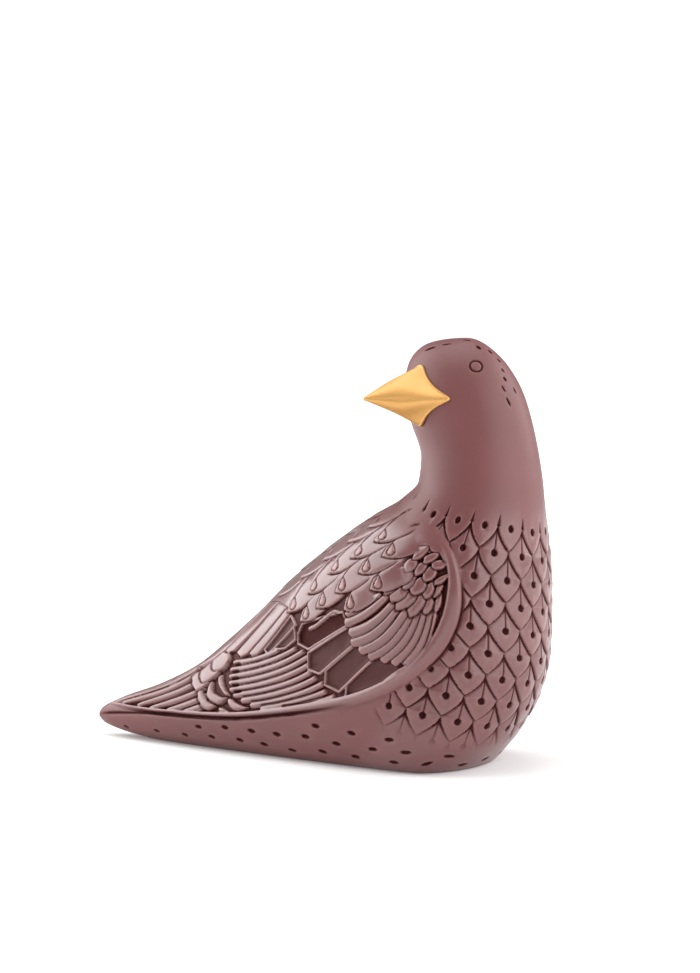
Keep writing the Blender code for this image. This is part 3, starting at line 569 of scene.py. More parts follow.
    def plume(self, line: np.ndarray, halves: tuple[float, ...], tip: float,
              stand: Stand) -> None:
        """One feather or rib along a line: its half width closes as sqrt(1 - end^2) at the tip.

        Args:
            line: Middle line from root to tip.
            halves: Half widths from root to tip.
            tip: Length over which the end closes.
            stand: How it stands on the board.
        """
        where = self.near(line, max(halves) + stand.groove[1] + 0.5)
        run, away, total = self.along(line, where)
        half = np.interp(run / total, np.linspace(0, 1, len(halves)), halves)
        end = np.clip((run - (total - tip)) / tip, 0.0, 1.0)
        half = half * np.sqrt(1.0 - end**2)
        edge = half - away
        top = stand.level + stand.height * self.swell(stand.kind, edge, half)
        self.stamp(where, edge, top, stand.groove)

    def leaf(self, outline: np.ndarray, stand: Stand) -> None:
        """Raised leaf inside a closed outline, with a groove pressed round it.

        Args:
            outline: Closed outline.
            stand: How it stands on the board.
        """
        where = self.near(outline, stand.groove[1] + 0.5)
        edge = self.inside(outline, where)
        top = stand.level + stand.height * self.swell(stand.kind, edge, self.leaf_half)
        self.stamp(where, edge, top, stand.groove)

    def lance(self, outline: np.ndarray, spot: np.ndarray, heading: np.ndarray,
              levels: Pair, run: Triple, groove: Pair) -> None:
        """Flat feather whose blade rises towards its tip and fades out towards its root.

        Height is root + (tip - root) * clip(1 - (a + run0) / run1, 0, 1), with a the distance
        upstream of the spot.

        Args:
            outline: Closed outline.
            spot: Place of its drop.
            heading: Direction from root to tip.
            levels: Heights at the root and at the tip.
            run: Spot to tip, length of the slope, and where the blade starts to fade.
            groove: Depth and width of the groove.
        """
        where = self.near(outline, groove[1] + 0.5)
        edge = self.inside(outline, where)
        back = -((self.u[where] - spot[0]) * heading[0] + (self.v[where] - spot[1]) * heading[1])
        rise = np.clip(1.0 - (back + run[0]) / run[1], 0.0, 1.0)
        top = levels[0] + (levels[1] - levels[0]) * rise
        top = top - self.lance_brim * (1.0 - self.swell(Roll.PAD, edge, self.brim))
        self.stamp(where, edge, top, groove, smooth_step(back, run[1] + 1.0, run[2]))

    def cell(self, outline: np.ndarray, sink: Sink, pooled_and_shaded: float) -> None:
        """Sunken field in a rounded border, darkened in the field by glaze pooling, painted shade
        and painted dark reflection.

        Args:
            outline: Closed outline of the border.
            sink: Height, width and depth of border and field.
            pooled_and_shaded: Glaze pooling, painted shade and painted dark reflection in the
                field, 0..1.
        """
        where = self.near(outline, 2.0)
        edge = self.inside(outline, where)
        middle = sink.border / 2
        rounded = np.sqrt(np.clip(1.0 - ((edge - middle) / middle) ** 2, 0.0, 1.0))
        inner = sink.level - sink.depth * (1 - rounded)
        outer = sink.level - self.outer_fall * (1 - rounded)
        top = np.where(edge > sink.border, sink.level - sink.depth,
                       np.where(edge > middle, inner, outer))
        shade = pooled_and_shaded * smooth_step(edge, *(sink.border * part for part in self.field_shade))
        self.height[where] = np.where(edge > 0, top, self.height[where])
        self.pool[where] = np.where(edge > 0, shade, self.pool[where])

    def bead(self, corners: np.ndarray, height: float, groove: Pair) -> None:
        """Small raised drop with rounded corners, pale from thin glaze and painted highlight, with
        a dark groove round it.

        Args:
            corners: Corners of the drop.
            height: Height over what lies there.
            groove: Depth and width of the groove.
        """
        outline = closed_through(corners)
        where = self.near(outline, 1.5)
        edge = self.inside(outline, where)
        top = self.height[where] + height * np.clip(edge / self.bead_rise, 0.0, 1.0) ** 0.5
        self.stamp(where, edge, top, groove)
        pale = np.clip(edge / self.bead_pale, 0.0, 1.0)
        self.pale[where] = np.maximum(self.pale[where], pale)


@dataclass(frozen=True)
class WingRelief:
    """Carving and glaze of both wings over the skin.

    Attributes:
        height: Height in millimetres.
        pool: Glaze pooling and painted shade, 0..1.
        beyond: Room left for other carving outside the rim, 0..1.
        gloss: How glossy the glaze is, 0..1.
        pale: Glaze thinned over the raised drops, with painted highlight, 0..1.
    """

    height: np.ndarray
    pool: np.ndarray
    beyond: np.ndarray
    gloss: np.ndarray
    pale: np.ndarray


@dataclass(frozen=True)
class WingCarving:
    """Everything on one wing, drawn from the tail forward so that upper layers cover lower.

    Lines and places are board millimetres; heights are millimetres over the smooth skin. A strand
    is given by its tip, middle and root. The back line closes the rim over the bird's back, for
    telling what lies outside it. Carving sets in where the skin faces the board by face_from and
    is full face_span later. Outside the rim it reaches to the overhang; other carving starts at
    outside_from and is full outside_span later.
    """

    facing: Triple = (-0.3, -0.75, 0.6)
    face_from: float = 0.12
    face_span: float = 0.15
    overhang: float = 4.0
    outside_from: float = 1.6
    outside_span: float = 0.8
    rim_line: tuple[Pair, ...] = (
        (32.3, 46.6), (36.9, 40.5), (37.9, 31.5), (34.4, 20.5), (27.0, 10.4), (15.0, 2.4),
        (-4.0, -1.9), (-30.0, -2.8), (-60.0, -2.4), (-90.0, 0.9), (-110.0, 4.3),
        (-124.0, 8.0),
    )
    rim_halves: tuple[float, ...] = (1.5, 1.85, 1.9, 1.8, 1.5, 1.1, 0.85, 0.7, 0.5)
    rim_height: float = 1.2
    rim_foot: float = -0.3
    rim_outer: Score = Score(0.75, 0.5)
    rim_outer_shift: Pair = (1.6, -0.9)
    rim_under: Score = Score(0.9, 0.9)
    rim_under_shift: Pair = (0.0, -1.1)
    back_line: tuple[Pair, ...] = ((-132.0, 9.0), (-110.0, 70.0), (0.0, 78.0), (29.0, 50.0))
    gloss_end: Pair = (60.0, 53.0)
    gloss_lean: float = 0.45
    gloss_soft: float = 2.0
    bed_top: tuple[Pair, ...] = (
        (-100.0, 11.0), (-84.0, 20.0), (-68.0, 24.0), (-50.0, 35.0), (-40.0, 31.5), (-30.0, 29.0),
        (0.0, 28.0), (17.0, 30.0), (24.0, 39.0),
    )
    bed_depth: float = 1.1
    bed_slope: float = 1.2
    lip: tuple[Pair, ...] = ((-132.5, 5.2), (-118.0, 3.2), (-103.0, 1.6), (-85.0, -0.1))
    lip_score: Score = Score(0.7, 0.45)
    cells: tuple[tuple[Pair, ...], ...] = (
        ((-26.4, 23.4), (-29.0, 20.6), (-29.2, 16.7), (-23.5, 13.8), (-2.0, 18.0), (-4.0, 23.0)),
        ((-24.2, 13.6), (-24.8, 8.0), (-19.0, 5.9), (-15.7, 7.0), (3.0, 13.6), (-2.0, 18.4)),
        ((-16.4, 7.3), (-17.6, 2.7), (-11.0, 0.0), (-6.7, 1.8), (9.0, 8.6), (2.0, 14.0)),
        ((-7.6, 2.6), (-9.6, -2.6), (5.0, -0.4), (20.5, 6.2), (12.0, 10.6), (5.0, 8.4)),
    )
    # Darkness of each cell's field: glaze pooling, painted shade and painted dark reflection.
    cell_pool_and_shade: tuple[float, ...] = (1.0, 0.80, 0.78, 0.80)
    cell_sink: Sink = Sink(0.25, 1.10, 1.4)
    fan_roots: tuple[Pair, ...] = (
        (12.9, 25.9), (16.2, 25.6), (17.6, 23.0), (19.4, 21.9), (21.9, 20.9), (23.8, 20.9),
        (25.7, 21.1), (27.6, 21.3), (29.6, 22.1), (31.4, 23.2),
    )
    fan_tips: tuple[Pair, ...] = (
        (-3.1, 21.7), (-3.7, 19.2), (-2.4, 16.3), (-2.0, 13.6), (1.0, 11.2), (4.6, 9.2),
        (9.6, 8.0), (13.8, 6.9), (18.6, 6.9), (22.0, 8.0),
    )
    tail_strands: tuple[tuple[Pair, ...], ...] = (
        ((-118.6, 8.9), (-101.6, 12.0), (-85.8, 18.8)),
        ((-117.3, 7.1), (-100.0, 9.9), (-84.6, 15.9)),
        ((-108.6, 4.9), (-95.2, 7.7), (-81.5, 12.3)),
        ((-101.8, 3.3), (-90.5, 5.0), (-78.0, 8.8)),
        ((-93.4, 1.7), (-84.5, 2.9), (-75.0, 5.8)),
        ((-85.9, 0.4), (-79.6, 1.0), (-73.0, 2.6)),
    )
    strand_halves: Triple = (1.45, 1.5, 0.9)
    strand_tip: float = 2.0
    strand_stand: Stand = Stand(-0.55, 1.1, Roll.BAR, (0.3, 0.4))
    tail_crescents: tuple[tuple[Pair, ...], ...] = (
        ((-68.3, 0.7), (-67.8, -0.8), (-65.1, -1.6), (-60.5, -1.9), (-63.2, -0.9), (-66.3, 0.6)),
        ((-69.6, 13.9), (-71.3, 12.4), (-70.7, 10.0), (-68.5, 7.2), (-66.2, 5.1), (-63.8, 4.4),
         (-64.4, 5.9), (-66.5, 7.6), (-67.9, 9.8), (-69.0, 11.8)),
        ((-74.6, 11.8), (-75.5, 8.6), (-74.8, 5.4), (-72.5, 3.1), (-68.7, 1.7), (-66.0, 2.6),
         (-64.5, 4.2), (-66.6, 4.4), (-69.1, 5.4), (-71.9, 7.0), (-72.9, 9.2), (-73.4, 11.0)),
        ((-80.2, 8.2), (-79.5, 5.6), (-77.5, 2.8), (-75.1, 0.5), (-72.0, -0.1), (-69.6, 1.5),
         (-73.0, 3.2), (-74.9, 4.8), (-76.7, 6.6), (-77.7, 8.4)),
        ((-64.2, 3.9), (-64.1, 1.8), (-62.1, -0.3), (-59.4, -1.3), (-56.3, -1.2), (-54.1, -0.4),
         (-56.1, 0.2), (-58.3, 1.2), (-60.5, 2.3), (-62.1, 3.4)),
    )
    crescent_stand: Stand = Stand(-0.55, 1.15, Roll.BAR, (0.5, 0.5))
    tail_leaves: tuple[tuple[Pair, ...], ...] = (
        ((-86.2, 15.0), (-84.2, 11.6), (-81.9, 8.8), (-79.6, 8.0), (-76.7, 9.6), (-75.0, 11.4),
         (-78.0, 14.6), (-82.0, 17.6)),
        ((-82.4, 17.2), (-81.4, 14.2), (-79.2, 11.5), (-77.0, 11.0), (-74.3, 12.3), (-71.3, 14.8),
         (-74.0, 18.0), (-77.5, 20.0)),
        ((-77.7, 21.0), (-76.3, 17.2), (-73.8, 15.4), (-69.8, 15.6), (-67.3, 18.2), (-67.8, 21.0),
         (-70.0, 23.6), (-74.5, 23.4)),
    )
    leaf_stand: Stand = Stand(-0.5, 1.2, Roll.PAD, (0.5, 0.5))
    flight_strands: tuple[tuple[Pair, ...], ...] = (
        ((-65.2, 17.7), (-53.0, 16.4), (-40.6, 16.9)),
        ((-66.0, 15.0), (-48.0, 14.0), (-31.0, 15.7)),
        ((-65.8, 12.3), (-44.7, 11.8), (-26.9, 14.1)),
        ((-65.2, 9.7), (-44.3, 9.4), (-24.9, 12.0)),
        ((-64.3, 7.0), (-44.0, 7.1), (-25.0, 9.6)),
        ((-62.0, 4.6), (-41.4, 4.9), (-24.2, 7.3)),
        ((-58.0, 2.3), (-38.6, 2.9), (-21.8, 5.4)),
        ((-53.4, 0.2), (-35.8, 0.8), (-18.6, 3.4)),
        ((-48.4, -1.4), (-33.1, -0.9), (-17.9, 1.0)),
        ((-38.4, -2.4), (-28.6, -2.4), (-14.2, -0.8)),
    )
    flight_halves: Triple = (1.0, 1.4, 1.35)
    flight_tip: float = 1.2
    flight_height: float = 1.35
    notched: int = 5
    notch: Score = Score(0.85, 0.7, 9.0)
    notch_start: Pair = (0.9, 0.0)
    notch_run: Pair = (4.2, -0.2)
    long_blades: tuple[tuple[Pair, ...], ...] = (
        ((-72.2, 23.9), (-69.5, 22.2), (-66.0, 22.4), (-43.5, 35.8), (-51.7, 38.9)),
        ((-64.6, 21.2), (-61.5, 18.7), (-57.3, 19.2), (-36.5, 31.2), (-42.9, 35.5)),
        ((-56.8, 19.2), (-54.6, 17.6), (-51.4, 17.6), (-48.7, 19.0), (-33.9, 28.3), (-36.5, 31.0)),
        ((-48.5, 18.8), (-46.0, 16.5), (-43.6, 17.0), (-29.8, 23.2), (-33.3, 28.0)),
        ((-44.6, 17.8), (-38.6, 16.7), (-35.9, 16.5), (-29.6, 18.4), (-31.0, 23.6)),
    )
    blade_stand: Stand = Stand(-0.3, 0.5, Roll.PAD, (0.5, 0.45))
    blade_sink: Sink = Sink(0.1, 1.0, 1.1)
    # Darkness of the sunken long feathers' fields: glaze pooling and painted shade.
    blade_pool_and_shade: float = 0.8
    flat_blades: int = 3
    quill: Score = Score(0.45, 0.4)
    quill_asides: Triple = (3.5, 7.0, 10.5)
    quill_start: Pair = (-70.0, 24.5)
    quill_end: Pair = (-50.0, 39.0)
    quill_lean: Pair = (0.4, 0.3)
    quill_arch: Pair = (0.0, 0.8)
    scallops: tuple[tuple[tuple[Pair, Pair, Pair], ...], ...] = (
        (((25.5, 38.6), (27.0, 37.0), (30.4, 40.4)), ((29.2, 37.1), (30.9, 36.3), (33.9, 39.2)),
         ((31.8, 35.9), (33.8, 34.8), (36.2, 36.9))),
        (((22.7, 34.0), (25.1, 33.0), (27.4, 36.5)), ((26.2, 33.0), (28.0, 32.2), (30.7, 35.8)),
         ((28.9, 31.8), (31.0, 30.7), (33.6, 34.3)), ((32.4, 30.6), (33.8, 30.4), (36.4, 33.2))),
        (((19.4, 30.8), (22.6, 28.7), (26.0, 32.5)), ((21.9, 28.7), (23.6, 27.4), (26.6, 30.7)),
         ((24.5, 27.0), (27.6, 26.4), (30.2, 30.2)), ((28.6, 26.1), (30.7, 26.1), (32.5, 29.7)),
         ((31.5, 26.6), (33.0, 27.0), (35.0, 30.6))),
        (((14.4, 26.5), (16.7, 25.8), (21.0, 28.3)), ((16.8, 24.9), (19.3, 23.5), (23.7, 26.5)),
         ((18.7, 22.7), (21.3, 21.4), (26.6, 25.4)), ((22.8, 20.7), (25.7, 20.5), (29.5, 25.8)),
         ((27.6, 21.9), (29.8, 21.9), (31.8, 26.3)), ((31.3, 23.1), (32.7, 23.3), (34.2, 27.2))),
    )
    scallop_stand: Stand = Stand(-0.6, 1.1, Roll.PAD, (0.7, 0.65))
    scallop_turns: tuple[float, ...] = (0.0, 35.0, 70.0, 110.0, 145.0, 180.0)
    scallop_back: Pair = (1.1, 0.9)
    mantle: tuple[tuple[Pair, ...], ...] = (
        ((12.5, 29.6), (-0.2, 24.9)),
        ((16.8, 40.6), (6.9, 35.8), (-4.1, 31.1), (-14.5, 28.2), (-23.8, 25.9)),
        ((11.5, 47.1), (1.5, 42.6), (-9.5, 39.1), (-20.1, 34.4), (-32.0, 31.0)),
        ((4.6, 55.4), (-4.3, 51.2), (-16.4, 47.2), (-28.4, 43.6), (-41.8, 40.9)),
        ((-1.5, 62.4), (-10.6, 58.2), (-22.6, 54.0), (-35.0, 50.5), (-48.6, 47.6)),
    )
    mantle_heading: Pair = (-0.937, -0.349)
    mantle_outline: tuple[Pair, ...] = (
        (-3.5, -1.9), (-1.0, -2.6), (3.3, -2.9), (7.5, -1.9), (11.2, -0.2), (14.0, 1.8),
        (17.0, 5.0), (12.0, 9.0), (6.0, 8.6), (2.4, 5.4), (-0.2, 2.5), (-1.9, 1.4),
        (-2.7, -0.1),
    )
    mantle_levels: Pair = (-0.35, 0.55)
    mantle_shares: tuple[float, ...] = (1.0, 1.0, 1.0, 0.75, 0.35)
    mantle_run: Triple = (3.3, 13.0, 9.0)
    mantle_groove: Pair = (0.50, 0.75)
    cap: tuple[Pair, ...] = (
        (22.0, 41.0), (25.5, 40.6), (27.5, 42.6), (30.6, 42.4), (31.6, 40.6), (34.2, 40.4),
        (35.4, 37.8), (38.5, 38.5), (36.0, 47.0), (28.0, 50.0),
    )
    cap_height: float = 0.1
    cap_groove: Pair = (0.5, 0.6)
    cap_fade: Pair = (46.0, 43.5)
    drop: tuple[Pair, ...] = (
        (0.2, 2.3), (1.0, 0.7), (1.55, -0.7), (0.9, -1.7), (-0.5, -1.7), (-1.35, -0.8), (-0.7, 0.7),
    )
    drop_line: tuple[Pair, ...] = ((0.5, 1.9), (0.3, 0.4), (0.0, -1.0))
    drop_stroke: Score = Score(0.6, 0.35)
    drop_groove: Pair = (0.35, 0.60)
    drop_height: float = 0.22
    stroke_from: float = 0.5
    # Raised bar in the first cell; its pale crest is a painted highlight.
    highlight_streak: tuple[Pair, ...] = (
        (-22.6, 20.6), (-19.0, 20.9), (-14.5, 22.1), (-9.2, 23.5), (-6.0, 22.4),
    )
    streak_halves: Triple = (0.8, 0.75, 0.5)
    streak_tip: float = 1.0
    streak_stand: Stand = Stand(-0.9, 0.9, Roll.BAR, (0.1, 0.3))
    rib_halves: tuple[float, ...] = (1.25, 1.6, 1.65, 1.75, 1.75, 1.75, 1.8, 1.7, 1.6, 1.4)
    rib_taper: Triple = (0.70, 0.90, 1.0)
    rib_bulge: Pair = (0.10, 0.14)
    rib_tip: float = 1.3
    rib_stand: Stand = Stand(-0.5, 1.2, Roll.BAR, (0.55, 0.45))

    def axes(self) -> tuple[np.ndarray, np.ndarray, np.ndarray]:
        """Directions of the board: right = x - (x . facing) facing, up = facing x right.

        Returns:
            Facing, rightward and upward unit vectors.
        """
        facing = unit(np.array(self.facing))
        right = unit(np.array((1.0, 0.0, 0.0)) - facing[0] * facing)
        return facing, right, np.cross(facing, right)

    @property
    def flight_stand(self) -> Stand:
        """The flight ribs stand on the bed."""
        return Stand(-self.bed_depth, self.flight_height, Roll.BAR, self.strand_stand.groove)

    def strand(self, spots: tuple[Pair, ...]) -> np.ndarray:
        """Bezier curve from root to tip with control = 2 middle - (tip + root) / 2."""
        tip, middle, root = np.array(spots)
        return bend(np.array((root, 2.0 * middle - (tip + root) / 2.0, tip)), 14)

    def tail(self, board: WingBoard) -> None:
        """Tail strands, crescents and leaves at their roots, and arched flight ribs with notches.

        Args:
            board: Board of one wing.
        """
        for spots in self.tail_strands:
            board.plume(self.strand(spots), self.strand_halves, self.strand_tip, self.strand_stand)
        for outline in self.tail_crescents:
            board.leaf(closed_through(np.array(outline)), self.crescent_stand)
        for outline in self.tail_leaves:
            board.leaf(closed_through(np.array(outline)), self.leaf_stand)
        for spots in self.flight_strands:
            board.plume(self.strand(spots), self.flight_halves, self.flight_tip, self.flight_stand)
        tips = np.array(self.flight_strands)[:, 0]
        for over, under in zip(tips[:self.notched], tips[1:]):
            start = (over + under) / 2 + self.notch_start
            board.cut(np.array((start, start + self.notch_run)), self.notch)

    def long_feathers(self, board: WingBoard) -> None:
        """Long feathers over the flight ribs: three flat ones, two sunken, and lines above.

        Args:
            board: Board of one wing.
        """
        for outline in reversed(self.long_blades[self.flat_blades:]):
            board.cell(np.array(outline), self.blade_sink, self.blade_pool_and_shade)
        for outline in reversed(self.long_blades[:self.flat_blades]):
            board.leaf(np.array(outline), self.blade_stand)
        for aside in self.quill_asides:
            start = np.array(self.quill_start) + (self.quill_lean[0] * aside, aside)
            end = np.array(self.quill_end) + (self.quill_lean[1] * aside, aside)
            board.cut(bend((start, (start + end) / 2 + self.quill_arch, end), 8), self.quill)

    def fan(self, board: WingBoard) -> None:
        """Sunken cells, a raised bar with a painted highlight in the first, and rounded ribs
        fanned over their heads.

        Args:
            board: Board of one wing.
        """
        for outline, pooled_and_shaded in zip(reversed(self.cells), reversed(self.cell_pool_and_shade)):
            board.cell(np.array(outline), self.cell_sink, pooled_and_shaded)
        board.plume(through(self.highlight_streak), self.streak_halves, self.streak_tip, self.streak_stand)
        steady, swing = self.rib_bulge
        ribs = len(self.fan_roots)
        for k in reversed(range(ribs)):
            root = np.array(self.fan_roots[k])
            tip = np.array(self.fan_tips[k])
            chord = tip - root
            share = steady + swing * math.sin(math.pi * k / (ribs - 1))
            bulge = np.array((-chord[1], chord[0])) * share
            line = bend((root, (root + tip) / 2 + bulge, tip), 14)
            halves = tuple(part * self.rib_halves[k] for part in self.rib_taper)
            board.plume(line, halves, self.rib_tip, self.rib_stand)

    def small_scallops(self, board: WingBoard) -> None:
        """Rows of small slanting scales on the shoulder, upper rows over lower ones.

        Each is given by its left tip, its bottom and its right end. The lower edge is half an
        ellipse, middle - half * cos(t) + sag * sin(t), and the hidden top lies on the other side
        of the middle; left neighbours and the row above cover it.

        Args:
            board: Board of one wing.
        """
        turn = np.radians(self.scallop_turns)[:, None]
        under_right, under_left = self.scallop_back
        for row in reversed(self.scallops):
            for left, low, right in reversed(row):
                a, b, c = np.array(left), np.array(low), np.array(right)
                middle, half = (a + c) / 2, (c - a) / 2
                sag = b - middle
                edge = middle - half * np.cos(turn) + sag * np.sin(turn)
                corners = np.vstack([edge, c - under_right * sag, a - under_left * sag])
                board.leaf(closed_through(corners), self.scallop_stand)
        cap = np.array(self.cap)
        where = board.near(cap, 1.0)
        edge = board.inside(cap, where)
        top = self.cap_height * board.swell(Roll.PAD, edge, 1.0)
        board.stamp(where, edge, top, self.cap_groove, smooth_step(board.v[where], *self.cap_fade))

    def mantle_feathers(self, board: WingBoard) -> None:
        """Slanting chains of lance-shaped feathers, each with a raised drop near its tip.

        A chain with a share under one is fainter, and a dark stroke takes the drop's place.

        Args:
            board: Board of one wing.
        """
        heading = unit(np.array(self.mantle_heading))
        for chain, share in zip(self.mantle, self.mantle_shares):
            levels = (self.mantle_levels[0] * share, self.mantle_levels[1] * share)
            groove = (self.mantle_groove[0] * share, self.mantle_groove[1])
            for spot in np.array(chain)[::-1]:
                outline = closed_through(np.array(self.mantle_outline) + spot)
                board.lance(outline, spot, heading, levels, self.mantle_run, groove)
                if share == 1.0:
                    board.bead(spot + np.array(self.drop), self.drop_height, self.drop_groove)
                elif share > self.stroke_from:
                    board.cut(through(spot + np.array(self.drop_line)), self.drop_stroke)

    def draw(self, board: WingBoard) -> None:
        """The whole wing, lower layers first, then the rim and the lines beside it.

        Args:
            board: Board of one wing.
        """
        rim = through(self.rim_line)
        board.bed(np.vstack([rim[8:], self.bed_top]), -self.bed_depth, self.bed_slope)
        self.tail(board)
        self.long_feathers(board)
        self.fan(board)
        self.small_scallops(board)
        self.mantle_feathers(board)
        board.cut(through(self.rim_line[1:6]) + np.array(self.rim_outer_shift), self.rim_outer)
        board.roll(rim, self.rim_halves, self.rim_height, self.rim_foot)
        board.cut(through(self.rim_line[6:]) + np.array(self.rim_under_shift), self.rim_under)
        board.cut(through(self.lip), self.lip_score)

    def relief(self, skin: Skin) -> WingRelief:
        """Carving and glaze of both wings.

        The board is worked out for the bird's left half and mirrored to the right. It fades where
        the skin turns away from the board.

        Args:
            skin: Smooth skin.

        Returns:
            The carving and the glaze at every skin point.
        """
        half = skin.points.shape[1] // 2 + 1
        points = skin.points[:, :half] * (1.0, -1.0, 1.0)
        facing, right, up = self.axes()
        board = WingBoard(points @ right, points @ up)
        self.draw(board)
        toward = (skin.normals[:, :half] * (1.0, -1.0, 1.0)) @ facing
        share = np.clip((toward - self.face_from) / self.face_span, 0.0, 1.0)
        closed = np.vstack([through(self.rim_line), self.back_line])
        everywhere = np.nonzero(np.ones(board.u.shape, bool))
        ahead = board.inside(closed, everywhere).reshape(board.u.shape)
        height = np.where(ahead > -self.overhang, board.height * share, 0.0)
        beyond = np.clip((-ahead - self.outside_from) / self.outside_span, 0.0, 1.0)
        beyond = np.where(share > 0, beyond, 1.0)
        gloss = np.clip((ahead + self.gloss_soft) / self.gloss_soft, 0.0, 1.0)
        gloss = np.where(share > 0, gloss, 0.0)
        gloss = gloss * smooth_step(board.v + self.gloss_lean * board.u, *self.gloss_end)
        halves = (height, board.pool * share, beyond, gloss, board.pale * share)
        return WingRelief(*(np.hstack([part, part[:, half - 2:0:-1]]) for part in halves))


@dataclass(frozen=True)
class BreastScales:
    """Pointed scales in staggered rows, each with a stem and a round pit.

    A column is pitch times the half width apart, and row j stands where
    z - fall * |arc| = top - row * j + closing * j^2.
    """

    pitch: float = 0.35
    fall: float = 0.19
    top: float = 82.0
    row: float = 9.3
    closing: float = 0.078
    off_centre: float = -0.05
    scale_width: float = 12.6
    scale_rise: float = 8.6
    point: float = 1.6
    depth: float = 0.55
    brim: float = 1.1
    ramp: float = 4.5
    pit_radius: float = 1.35
    pit_depth: float = 1.0
    pit_below_widest: float = 1.3
    stem_half: float = 0.42
    stem_depth: float = 0.35
    spike: Pair = (3.0, 0.95)
    line: Pair = (0.60, 1.05)
    line_edge: float = 0.4
    stem_edge: float = 1.3
    spike_edge: float = 1.4
    pit_pool_and_shade: float = 2.5
    side_limit: float = 67.0
    side_fade: float = 4.0
    foot_level: float = 8.0
    foot_rise: float = 0.25
    foot_turn: float = 30.0
    foot_fade: float = 7.0
    rows: int = 12

    def relief(self, skin: Skin) -> tuple[np.ndarray, np.ndarray]:
        """Flat scales with an engraved edge, a stem and a pit, darkened by glaze pooling and
        painted shade.

        A scale's half width at s below its widest is w(s) = half * (1 - (s / rise)^point), and
        gap is the distance beyond the scales above: (|aside| - w(s)) * cos(atan(w'(s))).

        Args:
            skin: Smooth skin.

        Returns:
            Height in millimetres and painted shade with glaze pooling, 0..1, at every skin point.
        """
        z = skin.points[..., 2]
        place = skin.arc / np.maximum(skin.half_width[:, None], 1.0) - self.off_centre
        drop = self.top - (z - self.fall * np.abs(skin.arc))
        closing = np.maximum(self.row**2 - 4 * self.closing * drop, 1.0)
        down = self.scale_rise * (self.row - np.sqrt(closing)) / (2 * self.closing)
        down = down + self.pit_below_widest
        half = self.scale_width / 2
        rise = self.scale_rise
        across = place / self.pitch * self.scale_width
        owner = np.full(z.shape, -1)
        for k in range(self.rows):
            room = np.clip(1.0 - np.abs(self.aside(across, k)) / half, 0.0, 1.0)
            reach = rise * room ** (1.0 / self.point)
            owner = np.where((down <= rise * k + reach) & (owner < 0), k, owner)
        gap = np.full(z.shape, 50.0)
        wide = np.full(z.shape, self.line[0])
        pit = np.full(z.shape, 50.0)
        lines = np.zeros(z.shape)
        for k in range(self.rows):
            mine = owner == k
            aside = np.abs(self.aside(across, k))
            beyond = down - rise * k
            pit = np.where(mine, np.hypot(aside, beyond - self.pit_below_widest), pit)
            if k == 0:
                above = -beyond
                spike = np.abs(half - aside) / np.maximum(
                    self.spike[1] * (1.0 - above / self.spike[0]), 0.02)
                lines = np.where(mine & (above < self.spike[0]) & (above > -1.0),
                                 np.clip(self.spike_edge * (1.0 - spike), 0.0, 1.0), lines)
                continue
            upper = np.abs(self.aside(across, k - 1))
            s = np.clip(beyond / rise + 1.0, 0.0, 1.0)
            slope = self.point * half / rise * s ** (self.point - 1.0)
            beside = (upper - half * (1.0 - s**self.point)) / np.sqrt(1.0 + slope**2)
            under = np.hypot(upper, beyond)
            gap = np.where(mine, np.maximum(np.where(beyond > 0, under, beside), 0.0), gap)
            wide = np.where(mine, self.line[0] + self.line[1] * (1.0 - s), wide)
            stem = np.clip(self.stem_edge * (1.0 - aside / self.stem_half), 0.0, 1.0)
            stem = stem * (beyond < self.pit_below_widest)
            lines = np.where(mine, stem, lines)
        hole = np.sqrt(np.clip(1.0 - (pit / self.pit_radius) ** 2, 0.0, 1.0))
        height = -self.depth * np.clip(1.0 - gap / self.brim, 0.0, 1.0)
        height = height - self.depth * np.clip(1.0 - gap / self.ramp, 0.0, 1.0)
        height = height - self.stem_depth * lines - self.pit_depth * hole
        # Dark lines, stems and pits: glaze pooling and painted shade.
        pooling_and_shade = np.maximum(np.clip((wide - gap) / self.line_edge, 0.0, 1.0), lines)
        pooling_and_shade = np.maximum(pooling_and_shade, np.clip(self.pit_pool_and_shade * hole, 0.0, 1.0))
        aside = np.abs(skin.arc)
        front = np.clip((self.side_limit - aside) / self.side_fade, 0.0, 1.0)
        lowest = self.foot_level + self.foot_rise * np.maximum(aside - self.foot_turn, 0.0)
        front = front * np.clip((z - lowest) / self.foot_fade, 0.0, 1.0)
        return height * front, pooling_and_shade * front

    def aside(self, across: np.ndarray, k: int) -> np.ndarray:
        """Sideways place in the nearest scale of a row; even rows are half a scale over.

        Args:
            across: Places round the breast, a scale's width to a column.
            k: Number of the row from the top.

        Returns:
            Places from the middle of the nearest scale.
        """
        half = self.scale_width / 2
        shifted = across - (half if k % 2 == 0 else 0.0)
        return np.mod(shifted + half, self.scale_width) - half


